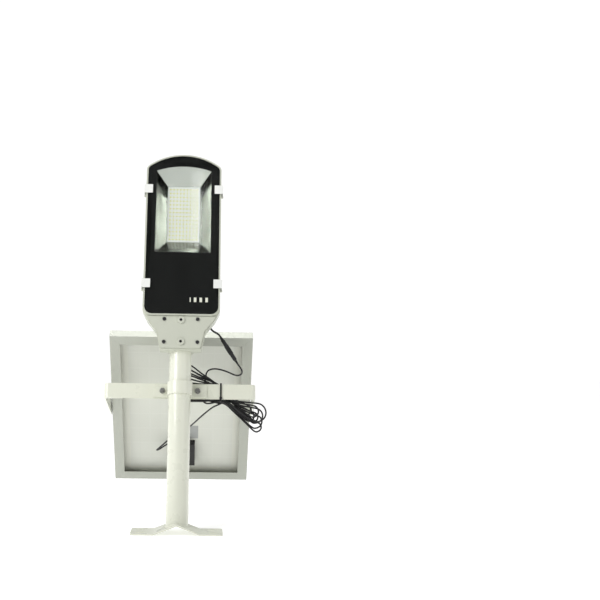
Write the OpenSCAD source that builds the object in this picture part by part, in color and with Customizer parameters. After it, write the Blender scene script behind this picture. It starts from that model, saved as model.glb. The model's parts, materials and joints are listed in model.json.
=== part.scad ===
// Solar street lamp kit: a lamp head on a short arm with a pole bracket,
// and a solar panel carried on the arm by a U bracket.
// The origin is the centre of the pole bracket's mounting plane. +Z points away from the pole,
// X runs along the bracket's wings, and the lamp shines towards -Y.
// The arm rises towards +Y, so most parts are drawn upright and then leaned back with on_arm().

/* [Arm] */
// Outside diameter of the arm tube
tube_d = 60; // [58:1:62]
// Wall of the arm tube
tube_wall = 2.5; // [2:0.5:4]
// Angle that the arm rises at from the pole bracket
arm_rise = 15; // [12:1:16]
// Length of the arm from the mounting plane to its end in the lamp
arm_len = 566; // [564:1:568]

/* [Pole bracket] */
// Width of the bracket across both wings
bracket_w = 240; // [230:2:250]
// Height of the bracket along the pole
bracket_h = 90; // [84:2:96]
// Thickness of the bracket's plate
bracket_t = 4; // [3:0.5:5]
// Half width of the raised V that takes the pole
vee_half_w = 60; // [56:1:62]
// Rise of the V above the wings
vee_rise = 23; // [20:1:25]
// Width of the fixing slots
slot_w = 9; // [7:1:10]
// Length of the fixing slots
slot_len = 24; // [20:1:26]
// Distance between the slots' centres across the bracket
slot_gap_x = 190; // [186:1:192]
// Distance between the slots' centres along the pole
slot_gap_y = 50; // [46:1:54]

/* [Lamp head] */
// Width of the cover glass
glass_w = 202; // [200:1:203]
// Height of the cover glass's lower edge along the arm
glass_z0 = 584; // [583:1:585]
// Height of the top of the glass's arch
glass_z1 = 1051; // [1046:1:1054]
// Thickness of the cover glass
glass_t = 4; // [3:0.5:4]
// Width of the clear window
window_w = 155; // [150:1:158]
// Height of the window's lower edge along the arm
window_z0 = 762; // [760:1:766]
// Height of the window's upper corners along the arm
window_z1 = 1007; // [1003:1:1009]
// Number of LEDs across the board
led_cols = 9; // [6:1:9]
// Number of LEDs up the board
led_rows = 14; // [10:1:14]

/* [Solar panel] */
// Width of the panel
panel_w = 404; // [396:1:405]
// Length of the panel
panel_l = 534; // [520:2:536]
// Depth of the panel's frame
frame_d = 30; // [28:1:32]
// Width of the frame's back flange
flange_w = 29; // [24:1:32]
// Tilt of the panel from the arm
panel_tilt = 50; // [46:1:50]

/* [Panel bracket] */
// Height of the U bracket's middle along the arm
clamp_z = 384; // [380:1:388]
// Height of the U bracket's flat bar
bar_h = 42; // [40:1:44]
// Thickness of the U bracket's flat bar
bar_t = 4; // [3:0.5:4]
// Distance from the arm's axis to the pivot bolts
pivot_y = 270; // [268:1:274]
// Height of the saddle strap
strap_h = 36; // [32:1:38]

/* [Cable] */
// Diameter of the panel's lead
panel_lead_d = 4.5; // [3.5:0.5:5]
// Diameter of the lamp's lead
lamp_lead_d = 5.5; // [5:0.5:6.5]

/* [Hidden] */
$fn = 64;
eps = 0.01;

// Arm
tube_r = tube_d / 2;
arm_top = arm_len;

// Lamp head: depths along Y, in the arm's own upright frame
glass_front = -50;
glass_back = glass_front + glass_t;
print_t = 0.3;
print_back = glass_back + print_t;
gasket_t = 1.8;
rim_y = print_back + gasket_t;
lip_y = -47.5;
lip_w = 4.5;
lip_gap = 0.5;
housing_wall = 4;
board_seat_y = -11;
fin_root_y = -5;
back_y = 22;
battery_floor_y = 18;
battery_z1 = 768;
arch_r = 160;
corner_r = 12;
neck_z0 = 485;
neck_front_y = -41;
neck_back_y = -2;
cover_t = 3;
socket_r = tube_r + 0.1;
socket_wall = 6;
fin_t = 3;
fin_step = 15;
fin_count = 13;

// Screws in the neck cover
cover_screw_x = 45.5;
cover_screw_z = [504.5, 569];
clamp_screw_z = [506, 567];
m5_r = 2.5;
m8_r = 4;
boss_r = 10;

// Reflector and board
board_w = 116;
board_z0 = 792;
board_z1 = 982;
board_t = 1.6;
lit_w = 91;
lit_z0 = 804;
lit_z1 = 970;
led_size = [5, 5, 0.8];
led_margin = 5;
reflector_t = 0.8;
window_rise = 14;

// Battery and controller
cell_r = 16.2;
cell_len = 70;
cell_pitch = 34;
cell_count = 5;
cell_z0 = 612;
cell_y = -1.4;
link_t = 0.3;
link_h = 10;
cradle_w = 176;
cradle_end_t = 4;
pcb_w = 110;
pcb_z0 = 700;
pcb_z1 = 752;
pcb_y = 8;
pcb_t = 1.6;
m3_r = 1.5;

// Clips
clip_z = [669.5, 949.5];
clip_h = 25;
clip_t = 1.6;
clip_in_x = 87;
clip_out_x = 111.5;
clip_pin_y = -29;
clip_pin_r = 1.5;
housing_w = glass_w + 2 * (lip_gap + lip_w);

// Lamp gland
gland_x = 81;
gland_y = 7.5;
gland_thread_r = 6;

// U bracket and saddle
bar_front_y = tube_r + 0.3;
bar_half_w = 208;
bar_bend_r = 12;
strap_t = 4;
strap_gap = 0.3;
ear_half_w = 74;
clamp_bolt_x = 48;
pivot_z = clamp_z;
pivot_r = 4;
pivot_clear = 0.1;

// Panel, in its own frame: X across, Y out through the glass, Z up its length
half_l = panel_l / 2;
half_pw = panel_w / 2;
frame_back_y = -frame_d / 2;
rail_wall = 1.8;
glass_seat_y = frame_d / 2 - 6;
panel_glass_t = 3.2;
cell_t = 0.8;
sheet_t = 0.4;
lip_over = 7;
key_len = 26;
box_w = 71;
box_h = 83;
box_x = 5.5;
box_z = -170.5;
box_d = 18;
box_gland_x = 19;
box_lid_t = 4;
plate_w = 85;
plate_h = 49;
plate_x = 8;
plate_z = -97.5;

// Cable: every point in the arm's upright frame
panel_lead_r = panel_lead_d / 2;
lamp_lead_r = lamp_lead_d / 2;
lead_sides = 8;
lamp_lead_path = [
    [81, 7.5, 569], [81, 7.5, 563.5], [82.2, 8, 558], [85.5, 9, 553.5], [90.5, 10.5, 550],
    [96.5, 12.5, 547.4], [102, 14.4, 544.6], [106.5, 15.75, 540.5], [109.5, 16.5, 536]
];
connector_start = [109.5, 16.5, 536];
connector_end = [157.5, 28.5, 464];
loop_path = [
    [157.5, 28.5, 464], [160.7, 29.3, 459.2], [164.6, 30.6, 454], [168.2, 32.4, 449], [170.3, 34.4, 444],
    [170.1, 36.3, 439.4], [167.2, 37.7, 435.4], [161.3, 38.9, 433.2], [154, 40, 433.4], [144, 41, 437],
    [131, 42, 443], [114, 43, 449], [97, 44, 451.8], [85.5, 45, 450.8], [77, 45.5, 447],
    [72.5, 46, 441], [71, 46, 436.5], [71, 46, 432]
];
// The first stretch, from the hank towards the panel
hank_lead_path = [
    [122, 46, 362], [118.5, 46, 358.5], [112, 48.5, 354.5], [102, 54, 351], [89.5, 64, 346.5],
    [72.5, 85, 337], [56, 112, 327.5], [43, 140, 320.5], [29.5, 170, 314], [13.5, 205, 308],
    [-4.5, 243, 303.5], [-21.5, 280, 300.5]
];
// The rest, in the panel's own frame: a fold left of the box, then down into its gland
box_lead_path = [
    [-38, -36, -92], [-50, -36.5, -105], [-61, -35.5, -118.5], [-67.2, -31.5, -128.9],
    [-71.3, -28.3, -136], [-72.8, -24.9, -141.3], [-71, -20.1, -145.1], [-66.5, -15.6, -146],
    [-61, -13.2, -143.8], [-52.5, -10.5, -138.5], [-39.5, -9, -129], [-30, -7, -120.5],
    [-22, -5, -110], [-15.5, -4, -101], [-7, -3, -94.5], [2.5, -2, -92],
    [12, -1, -94.5], [17.5, -0.5, -101.5], [19, 0, -108], [19, 0, -114]
];

// ---------- helpers ----------

function unit(v) = v / norm(v);

// Points of a round that replaces corner b between a and c
function round_corner(a, b, c, r, n = 6) =
    let (
        u = unit(a - b),
        w = unit(c - b),
        half = acos(u * w) / 2,
        o = b + unit(u + w) * r / sin(half),
        s = b + u * r / tan(half) - o,
        e = b + w * r / tan(half) - o,
        a0 = atan2(s[1], s[0]),
        turn = atan2(s[0] * e[1] - s[1] * e[0], s * e)
    )
    [for (i = [0:n]) o + r * [cos(a0 + turn * i / n), sin(a0 + turn * i / n)]];

function xy(p) = [p[0], p[1]];

// Rounds each corner of an outline given as [x, y, radius]
function soften(pts) =
    let (m = len(pts))
    [for (i = [0:m - 1])
        each pts[i][2] > 0
            ? round_corner(xy(pts[(i + m - 1) % m]), xy(pts[i]), xy(pts[(i + 1) % m]), pts[i][2])
            : [xy(pts[i])]];

// Arch from the right side over to the left, between two half widths, on a circle below the top
function arch(half_w, top, r, n = 16) =
    let (a = asin(half_w / r))
    [for (i = [0:n]) [r * sin(a - 2 * a * i / n), top - r + r * cos(a - 2 * a * i / n), 0]];

// Arched outline: flat foot, straight sides and an arched top with rounded shoulders
function arched(half_w, foot, top, r, shoulder, foot_r) =
    let (a = arch(half_w, top, r))
    soften(concat(
        [[-half_w, foot, foot_r], [half_w, foot, foot_r]],
        [for (i = [0:len(a) - 1])
            [a[i][0], a[i][1], (i == 0 || i == len(a) - 1) ? shoulder : 0]]
    ));

// Extrudes an X-Z outline through the depth from y0 to y1
module slab(y0, y1) {
    translate([0, y1, 0])
        rotate([90, 0, 0])
            linear_extrude(y1 - y0)
                children();
}

module on_arm() {
    rotate([-arm_rise, 0, 0]) children();
}

// A point of the panel's own frame, in the arm's upright frame
function from_panel(p) = [
    p[0],
    pivot_y - p[2] * sin(panel_tilt) + p[1] * cos(panel_tilt),
    pivot_z + p[2] * cos(panel_tilt) + p[1] * sin(panel_tilt)
];

module on_panel() {
    on_arm()
        translate([0, pivot_y, pivot_z])
            rotate([panel_tilt, 0, 0])
                children();
}

// Cylinder along Y from y0 to y1
module rod_y(r, y0, y1, fn = 48) {
    translate([0, y0, 0])
        rotate([-90, 0, 0])
            cylinder(r = r, h = y1 - y0, $fn = fn);
}

// Cylinder along X from x0 to x1
module rod_x(r, x0, x1, fn = 48) {
    translate([x0, 0, 0])
        rotate([0, 90, 0])
            cylinder(r = r, h = x1 - x0, $fn = fn);
}

module mirror_x() {
    children();
    mirror([1, 0, 0]) children();
}

// Hexagonal prism along Y, given across its flats
module hex_y(flats, y0, y1) {
    translate([0, y0, 0])
        rotate([-90, 0, 0])
            cylinder(d = flats / cos(30), h = y1 - y0, $fn = 6);
}

module hex_x(flats, x0, x1) {
    translate([x0, 0, 0])
        rotate([0, 90, 0])
            cylinder(d = flats / cos(30), h = x1 - x0, $fn = 6);
}

// Moves a piece drawn along +Z from the origin onto the line from a to b
module between(a, b) {
    d = b - a;
    translate(a)
        rotate([0, acos(d[2] / norm(d)), atan2(d[1], d[0])])
            children();
}

// Frame carried along a path, without twist
function path_dir(p, i) =
    unit(p[min(i + 1, len(p) - 1)] - p[max(i - 1, 0)]);
function carry(v, t) = unit(v - t * (v * t));
function path_side(p, i) =
    i == 0
        ? carry(abs(path_dir(p, 0)[2]) < 0.9 ? [0, 0, 1] : [0, 1, 0], path_dir(p, 0))
        : carry(path_side(p, i - 1), path_dir(p, i));
function ring(p, i, r, n) =
    let (t = path_dir(p, i), u = path_side(p, i), w = cross(t, u))
    [for (k = [0:n - 1]) p[i] + r * (cos(360 * k / n) * u + sin(360 * k / n) * w)];

// One closed tube along a path
module tube(p, r, n) {
    m = len(p);
    polyhedron(
        points = [for (i = [0:m - 1]) each ring(p, i, r, n)],
        faces = concat(
            [[for (k = [0:n - 1]) k]],
            [for (i = [0:m - 2], k = [0:n - 1]) [
                i * n + k,
                (i + 1) * n + k,
                (i + 1) * n + (k + 1) % n,
                i * n + (k + 1) % n
            ]],
            [[for (k = [0:n - 1]) (m - 1) * n + n - 1 - k]]
        )
    );
}

// ---------- arm and pole bracket ----------

vee_angle = atan(vee_rise / vee_half_w);
top_peak = vee_rise + bracket_t / cos(vee_angle);
top_knee = (top_peak - bracket_t) / tan(vee_angle);

module arm_tube() {
    cut = 100;
    color("ivory")
        difference() {
            on_arm()
                translate([0, 0, -tube_d])
                    difference() {
                        cylinder(r = tube_r, h = arm_top + tube_d, $fn = 96);
                        translate([0, 0, -1])
                            cylinder(r = tube_r - tube_wall, h = arm_top + tube_d + 2, $fn = 96);
                    }
            slab(-cut, cut)
                polygon([
                    [-cut, -cut], [cut, -cut], [cut, bracket_t], [top_knee, bracket_t],
                    [0, top_peak], [-top_knee, bracket_t], [-cut, bracket_t]
                ]);
        }
}

module slot_hole() {
    run = (slot_len - slot_w) / 2;
    translate([0, 0, -1]) {
        for (s = [-1, 1])
            translate([s * run, 0, 0])
                cylinder(d = slot_w, h = bracket_t + 2, $fn = 48);
        translate([-run, -slot_w / 2, 0])
            cube([2 * run, slot_w, bracket_t + 2]);
    }
}

module pole_bracket() {
    half = bracket_w / 2;
    end_r = 6;
    color("ivory")
        difference() {
            intersection() {
                slab(-bracket_h / 2, bracket_h / 2)
                    polygon([
                        [-half, 0], [-vee_half_w, 0], [0, vee_rise], [vee_half_w, 0], [half, 0],
                        [half, bracket_t], [top_knee, bracket_t], [0, top_peak],
                        [-top_knee, bracket_t], [-half, bracket_t]
                    ]);
                linear_extrude(2 * vee_rise)
                    polygon(soften([
                        [-half, -bracket_h / 2, end_r], [half, -bracket_h / 2, end_r],
                        [half, bracket_h / 2, end_r], [-half, bracket_h / 2, end_r]
                    ]));
            }
            for (sx = [-1, 1], sy = [-1, 1])
                translate([sx * slot_gap_x / 2, sy * slot_gap_y / 2, 0])
                    slot_hole();
        }
}

// ---------- lamp head ----------

// Outline of the glass, moved inwards by inset
module head(inset = 0) {
    polygon(arched(
        glass_w / 2 - inset, glass_z0 + inset, glass_z1 - inset, arch_r - inset,
        corner_r - inset, corner_r + 8 - inset
    ));
}

// Outline of the clear window, moved outwards by grow
module window(grow = 0) {
    half = window_w / 2;
    r = half * half / (2 * window_rise) + window_rise / 2;
    polygon(arched(
        half + grow, window_z0 - grow, window_z1 + window_rise + grow, r + grow, 0, 0
    ));
}

// Outline of the neck, moved inwards by inset, up to the height top
module neck(inset, top) {
    intersection() {
        polygon([
            [-56 + inset, neck_z0 + inset], [56 - inset, neck_z0 + inset],
            [67 - inset, 536], [93 - inset, 568], [106 - inset, 594], [106 - inset, 640],
            [-106 + inset, 640], [-106 + inset, 594], [-93 + inset, 568], [-67 + inset, 536]
        ]);
        translate([-120, 0])
            square([240, top]);
    }
}

// The part of the head's outline that holds the battery
module battery_outline(inset) {
    intersection() {
        head(inset);
        translate([-120, 0])
            square([240, battery_z1 - inset]);
    }
}

module fins() {
    r = arch_r + lip_gap + lip_w;
    centre_z = glass_z1 - arch_r;
    for (i = [0:fin_count - 1]) {
        x = (i - (fin_count - 1) / 2) * fin_step;
        top = centre_z + sqrt(r * r - x * x) - 8;
        translate([x - fin_t / 2, 0, 0])
            rotate([90, 0, 90])
                linear_extrude(fin_t)
                    polygon([
                        [fin_root_y - 1, battery_z1 - 4], [back_y, battery_z1 - 4],
                        [back_y, top - 46], [back_y - 8, top - 20], [fin_root_y - 1, top]
                    ]);
    }
}

module at_cover_screws() {
    for (sx = [-1, 1], z = cover_screw_z)
        translate([sx * cover_screw_x, 0, z])
            children();
}

module at_clamp_screws() {
    for (z = clamp_screw_z)
        translate([0, 0, z])
            children();
}

module at_board_screws() {
    for (sx = [-1, 1], z = [board_z0 + 6, (board_z0 + board_z1) / 2, board_z1 - 6])
        translate([sx * (board_w / 2 - 5), 0, z])
            children();
}

module at_pcb_screws() {
    for (sx = [-1, 1], z = [pcb_z0 + 5, pcb_z1 - 5])
        translate([sx * (pcb_w / 2 - 5), 0, z])
            children();
}

module at_cradle_screws() {
    for (sx = [-1, 1], z = [cell_z0 - 9, cell_z0 + cell_len + 9])
        translate([sx * 66, 0, z])
            children();
}

clip_pin_x = housing_w / 2 + 2.8;
knuckle_r = 2.6;
ear_gap = 0.4;
ear_t = 4;

module clip_ears() {
    for (z = clip_z, s = [-1, 1])
        translate([0, 0, z + s * (clip_h / 2 + ear_gap + ear_t / 2) - ear_t / 2])
            difference() {
                union() {
                    translate([housing_w / 2 - 2, clip_pin_y - 3.4, 0])
                        cube([clip_pin_x - housing_w / 2 + 2, 6.8, ear_t]);
                    translate([clip_pin_x, clip_pin_y, 0])
                        cylinder(r = 3.4, h = ear_t, $fn = 32);
                }
                translate([clip_pin_x, clip_pin_y, -1])
                    cylinder(r = clip_pin_r, h = ear_t + 2, $fn = 32);
            }
}

module housing_shell() {
    outer = -lip_gap - lip_w;
    inner = outer + housing_wall;
    ledge = 9;
    ledge_t = 3;
    taper = 7;
    difference() {
        union() {
            slab(lip_y, fin_root_y)
                head(outer);
            hull() {
                slab(fin_root_y - 1, fin_root_y)
                    battery_outline(outer);
                slab(back_y - 1, back_y)
                    battery_outline(outer + taper);
            }
            fins();
            slab(neck_front_y, neck_back_y)
                neck(0, 600);
            translate([0, 0, neck_z0])
                cylinder(r = socket_r + socket_wall, h = glass_z0 - neck_z0, $fn = 96);
        }
        slab(lip_y - 20, rim_y)
            head(-lip_gap);
        slab(rim_y - 1, rim_y + ledge_t + 1)
            head(ledge);
        slab(rim_y + ledge_t, board_seat_y)
            head(inner);
        hull() {
            slab(board_seat_y - 2, board_seat_y - 1)
                battery_outline(outer + housing_wall);
            slab(battery_floor_y - 1, battery_floor_y)
                battery_outline(outer + housing_wall + taper);
        }
        slab(lip_y - 20, neck_back_y - 3)
            neck(3.5, glass_z0 - 12);
        translate([-60, lip_y - 20, neck_z0 - 1])
            cube([120, neck_front_y - lip_y + 20, glass_z0 - 6 - neck_z0]);
    }
}

module lamp_housing() {
    color("ivory")
        on_arm()
            difference() {
                union() {
                    housing_shell();
                    at_cover_screws()
                        rod_y(5, neck_front_y, neck_back_y - 1);
                    at_pcb_screws()
                        rod_y(3.5, pcb_y + pcb_t, battery_floor_y + 1);
                    translate([gland_x, gland_y, glass_z0 - 7])
                        cylinder(r = 10.5, h = 13);
                    mirror_x()
                        clip_ears();
                }
                translate([0, 0, neck_z0 - 1])
                    cylinder(r = socket_r, h = arm_top + 3 - neck_z0, $fn = 96);
                at_cover_screws()
                    rod_y(m5_r, neck_front_y - 1, -16);
                at_board_screws()
                    rod_y(m3_r, board_seat_y - 1, fin_root_y - 1);
                at_pcb_screws()
                    rod_y(m3_r, pcb_y, battery_floor_y - 1);
                at_cradle_screws()
                    rod_y(m3_r, battery_floor_y - 1, battery_floor_y + 2.5);
                translate([gland_x, gland_y, glass_z0 - 8])
                    cylinder(r = gland_thread_r, h = 20);
            }
}

module neck_cover() {
    top = glass_z0 - 6;
    color("ivory")
        on_arm()
            difference() {
                union() {
                    slab(neck_front_y - cover_t, neck_front_y)
                        neck(3, top);
                    at_clamp_screws()
                        rod_y(boss_r, neck_front_y - cover_t - 3.5, neck_front_y);
                }
                at_clamp_screws()
                    rod_y(m8_r, -60, -30);
                at_cover_screws()
                    rod_y(m5_r, -60, -30);
            }
}

module cover_screws() {
    y0 = neck_front_y - cover_t;
    color("silver")
        on_arm()
            at_cover_screws()
                difference() {
                    union() {
                        rod_y(5, y0 - 2.6, y0);
                        rod_y(m5_r, y0, -17);
                    }
                    hex_y(3, y0 - 3, y0 - 0.9);
                }
}

module arm_clamp_screws() {
    y0 = neck_front_y - cover_t - 3.5;
    color("dimgray")
        on_arm()
            at_clamp_screws()
                difference() {
                    rod_y(m8_r, y0 + 1, -tube_r);
                    hex_y(4, y0, y0 + 5);
                }
}

module cover_glass() {
    color("lightblue", 0.4)
        on_arm()
            slab(glass_front, glass_back)
                head(0);
}

module glass_print() {
    color("black")
        on_arm()
            slab(glass_back, print_back)
                difference() {
                    head(0);
                    window();
                }
}

module glass_gasket() {
    color("dimgray")
        on_arm()
            slab(print_back, rim_y)
                difference() {
                    head(2);
                    head(8);
                }
}

module lit_area(grow = 0) {
    translate([-lit_w / 2 - grow, lit_z0 - grow])
        square([lit_w + 2 * grow, lit_z1 - lit_z0 + 2 * grow]);
}

module board_area() {
    translate([-board_w / 2, board_z0])
        square([board_w, board_z1 - board_z0]);
}

module reflector() {
    front = print_back + 0.3;
    back = board_seat_y - board_t;
    color("silver")
        on_arm()
            difference() {
                union() {
                    hull() {
                        slab(front, front + eps)
                            window(reflector_t);
                        slab(back - eps, back)
                            lit_area(reflector_t);
                    }
                    slab(front, front + reflector_t)
                        window(4);
                    slab(back - reflector_t, back)
                        board_area();
                }
                hull() {
                    slab(front - 1, front - 1 + eps)
                        window(0.9);
                    slab(back + 1 - eps, back + 1)
                        lit_area(-0.9);
                }
                at_board_screws()
                    rod_y(m3_r, back - 2, back + 1);
            }
}

module led_board() {
    color("white")
        on_arm()
            difference() {
                slab(board_seat_y - board_t, board_seat_y)
                    board_area();
                at_board_screws()
                    rod_y(m3_r, board_seat_y - 5, board_seat_y + 1);
            }
}

module leds() {
    span_x = lit_w - 2 * led_margin - led_size[0];
    span_z = lit_z1 - lit_z0 - 2 * led_margin - led_size[1];
    color("khaki")
        on_arm()
            for (i = [0:led_cols - 1], j = [0:led_rows - 1])
                translate([
                    -span_x / 2 + span_x * i / (led_cols - 1) - led_size[0] / 2,
                    board_seat_y - board_t - led_size[2],
                    lit_z0 + led_margin + span_z * j / (led_rows - 1)
                ])
                    cube([led_size[0], led_size[2], led_size[1]]);
}

module board_screws() {
    y0 = board_seat_y - board_t - reflector_t;
    color("silver")
        on_arm()
            at_board_screws() {
                rod_y(2.7, y0 - 2, y0, 32);
                rod_y(m3_r, y0, -6.5, 32);
            }
}

// ---------- controller and battery ----------

module controller_board() {
    color("darkgreen")
        on_arm()
            difference() {
                slab(pcb_y, pcb_y + pcb_t)
                    translate([-pcb_w / 2, pcb_z0])
                        square([pcb_w, pcb_z1 - pcb_z0]);
                at_pcb_screws()
                    rod_y(m3_r, pcb_y - 1, pcb_y + 3);
            }
}

module controller_parts() {
    color("dimgray")
        on_arm() {
            // coil, two capacitors, terminal block, two switching transistors
            translate([-30, 0, 726])
                difference() {
                    rod_y(11, pcb_y - 9, pcb_y);
                    rod_y(4, pcb_y - 10, pcb_y + 1);
                }
            for (x = [-8, 6])
                translate([x, 0, 738])
                    rod_y(5, pcb_y - 14, pcb_y);
            translate([-10, pcb_y - 11, 702])
                cube([48, 11, 11]);
            for (x = [18, 32])
                translate([x, pcb_y - 4.5, 726])
                    cube([10, 4.5, 15]);
        }
}

module controller_screws() {
    color("silver")
        on_arm()
            at_pcb_screws() {
                rod_y(2.8, pcb_y - 2, pcb_y, 32);
                rod_y(m3_r, pcb_y, pcb_y + 7, 32);
            }
}

module at_cells() {
    for (i = [0:cell_count - 1])
        translate([(i - (cell_count - 1) / 2) * cell_pitch, cell_y, 0])
            children();
}

module battery_cells() {
    color("royalblue")
        on_arm()
            at_cells()
                translate([0, 0, cell_z0])
                    cylinder(r = cell_r, h = cell_len);
}

module cell_links() {
    half = (cell_count - 1) / 2 * cell_pitch + 8;
    color("silver")
        on_arm()
            for (z = [cell_z0 - link_t, cell_z0 + cell_len])
                translate([-half, cell_y - link_h, z])
                    cube([2 * half, link_h, link_t]);
}

module battery_cradle() {
    z0 = cell_z0 - link_t;
    z1 = cell_z0 + cell_len + link_t;
    tab = 14;
    color("dimgray")
        on_arm()
            difference() {
                union() {
                    translate([-cradle_w / 2, cell_y - 5, z0 - cradle_end_t])
                        cube([
                            cradle_w, battery_floor_y - cell_y + 5, z1 - z0 + 2 * cradle_end_t
                        ]);
                    for (sx = [-1, 1])
                        translate([sx * 66 - tab / 2, battery_floor_y - 4, cell_z0 - 15])
                            cube([tab, 4, cell_len + 30]);
                }
                at_cells()
                    translate([0, 0, z0])
                        cylinder(r = cell_r, h = z1 - z0);
                translate([-cradle_w / 2 - 1, cell_y - 30, z0])
                    cube([cradle_w + 2, 30, z1 - z0]);
                at_cradle_screws()
                    rod_y(m3_r, battery_floor_y - 5, battery_floor_y + 1);
            }
}

module cradle_screws() {
    y0 = battery_floor_y - 4;
    color("silver")
        on_arm()
            at_cradle_screws() {
                rod_y(2.8, y0 - 2, y0, 32);
                rod_y(m3_r, y0, battery_floor_y + 2.5, 32);
            }
}

// ---------- lamp gland ----------

gland_top = glass_z0 - 7;

module lamp_gland_body() {
    color("black")
        on_arm()
            translate([gland_x, gland_y, 0])
                difference() {
                    union() {
                        translate([0, 0, gland_top - 4])
                            cylinder(d = 18 / cos(30), h = 4, $fn = 6);
                        translate([0, 0, gland_top])
                            cylinder(r = gland_thread_r, h = 19);
                    }
                    translate([0, 0, gland_top - 5])
                        cylinder(r = lamp_lead_r, h = 30);
                }
}

module lamp_gland_nut() {
    color("black")
        on_arm()
            translate([gland_x, gland_y, gland_top - 4])
                rotate([180, 0, 0])
                    rotate_extrude()
                        polygon([
                            [lamp_lead_r, 0], [8.6, 0], [8.6, 4], [6.2, 8], [lamp_lead_r, 8]
                        ]);
}

module lamp_gland_locknut() {
    color("black")
        on_arm()
            translate([gland_x, gland_y, gland_top + 13])
                difference() {
                    cylinder(d = 15 / cos(30), h = 4, $fn = 6);
                    translate([0, 0, -1])
                        cylinder(r = gland_thread_r, h = 6);
                }
}

// ---------- glass clips ----------

// One clip for the right side, centred on z = 0
module clip_shape() {
    gap = 0.3;
    y0 = glass_front - gap - clip_t;
    difference() {
        union() {
            slab_h = clip_h;
            translate([clip_in_x, y0, -slab_h / 2])
                cube([clip_out_x - clip_in_x, clip_t, slab_h]);
            translate([clip_out_x - clip_t, y0, -slab_h / 2])
                cube([clip_t, clip_pin_y - y0, slab_h]);
            translate([clip_pin_x, clip_pin_y, -slab_h / 2])
                cylinder(r = knuckle_r, h = slab_h, $fn = 32);
        }
        translate([clip_pin_x, clip_pin_y, -clip_h])
            cylinder(r = clip_pin_r + 0.05, h = 2 * clip_h, $fn = 32);
    }
}

module glass_clip(side, z) {
    color("whitesmoke")
        on_arm()
            translate([0, 0, z])
                mirror([side < 0 ? 1 : 0, 0, 0])
                    clip_shape();
}

module clip_upper_left() { glass_clip(-1, clip_z[1]); }
module clip_upper_right() { glass_clip(1, clip_z[1]); }
module clip_lower_left() { glass_clip(-1, clip_z[0]); }
module clip_lower_right() { glass_clip(1, clip_z[0]); }

module clip_pins() {
    half = clip_h / 2 + ear_gap + ear_t;
    color("silver")
        on_arm()
            mirror_x()
                for (z = clip_z)
                    translate([clip_pin_x, clip_pin_y, z - half])
                        cylinder(r = clip_pin_r, h = 2 * half, $fn = 32);
}

// ---------- U bracket and saddle ----------

module u_outline() {
    in_x = bar_half_w - bar_t;
    front = bar_front_y;
    far = pivot_y + bar_h;
    in_r = bar_bend_r - bar_t;
    polygon(soften([
        [-bar_half_w, front, bar_bend_r], [bar_half_w, front, bar_bend_r], [bar_half_w, far, 0],
        [in_x, far, 0], [in_x, front + bar_t, in_r], [-in_x, front + bar_t, in_r],
        [-in_x, far, 0], [-bar_half_w, far, 0]
    ]));
}

module u_bracket() {
    color("ivory")
        on_arm()
            translate([0, 0, clamp_z])
                difference() {
                    intersection() {
                        translate([0, 0, -bar_h / 2])
                            linear_extrude(bar_h)
                                u_outline();
                        union() {
                            translate([-bar_half_w - 1, 0, -bar_h])
                                cube([2 * bar_half_w + 2, pivot_y, 2 * bar_h]);
                            translate([0, pivot_y, 0])
                                rod_x(bar_h / 2, -bar_half_w - 1, bar_half_w + 1, 64);
                        }
                    }
                    translate([0, pivot_y, 0])
                        rod_x(pivot_r + pivot_clear, -bar_half_w - 2, bar_half_w + 2);
                    for (s = [-1, 1])
                        translate([s * clamp_bolt_x, 0, 0])
                            rod_y(m8_r, bar_front_y - 2, bar_front_y + bar_t + 2);
                }
}

module saddle_strap() {
    r_in = tube_r + strap_gap;
    r_out = r_in + strap_t;
    color("ivory")
        on_arm()
            translate([0, 0, clamp_z])
                difference() {
                    translate([0, 0, -strap_h / 2])
                        linear_extrude(strap_h)
                            difference() {
                                union() {
                                    circle(r = r_out, $fn = 96);
                                    translate([-r_out, 0])
                                        square([2 * r_out, bar_front_y]);
                                    translate([-ear_half_w, bar_front_y - strap_t])
                                        square([2 * ear_half_w, strap_t]);
                                }
                                circle(r = r_in, $fn = 96);
                                translate([-r_in, 0])
                                    square([2 * r_in, r_out + 1]);
                            }
                    for (s = [-1, 1])
                        translate([s * clamp_bolt_x, 0, 0])
                            rod_y(m8_r, bar_front_y - strap_t - 2, bar_front_y + 2);
                }
}

module at_clamp_bolts() {
    for (s = [-1, 1])
        translate([s * clamp_bolt_x, 0, clamp_z])
            children();
}

clamp_face_y = bar_front_y - strap_t;
washer_t = 1.6;
nut_t = 6.5;
head_t = 5.3;

module clamp_bolts() {
    color("silver")
        on_arm()
            at_clamp_bolts() {
                hex_y(13, bar_front_y + bar_t, bar_front_y + bar_t + head_t);
                rod_y(m8_r, clamp_face_y - washer_t - nut_t - 4, bar_front_y + bar_t);
            }
}

module clamp_washers() {
    color("silver")
        on_arm()
            at_clamp_bolts()
                difference() {
                    rod_y(8, clamp_face_y - washer_t, clamp_face_y);
                    rod_y(m8_r, clamp_face_y - 5, clamp_face_y + 1);
                }
}

module clamp_nuts() {
    y1 = clamp_face_y - washer_t;
    color("silver")
        on_arm()
            at_clamp_bolts()
                difference() {
                    hex_y(13, y1 - nut_t, y1);
                    rod_y(m8_r, y1 - nut_t - 1, y1 + 1);
                }
}

// ---------- solar panel ----------

// Section of a frame rail: distance in from the outer face, and depth
module rail_section() {
    w = rail_wall;
    back = frame_back_y;
    front = frame_d / 2;
    translate([0, back])
        square([w, frame_d]);
    translate([0, back])
        square([flange_w, w]);
    translate([0, front - w])
        square([lip_over, w]);
    translate([0, glass_seat_y - w])
        square([lip_over + 3, w]);
}

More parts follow.
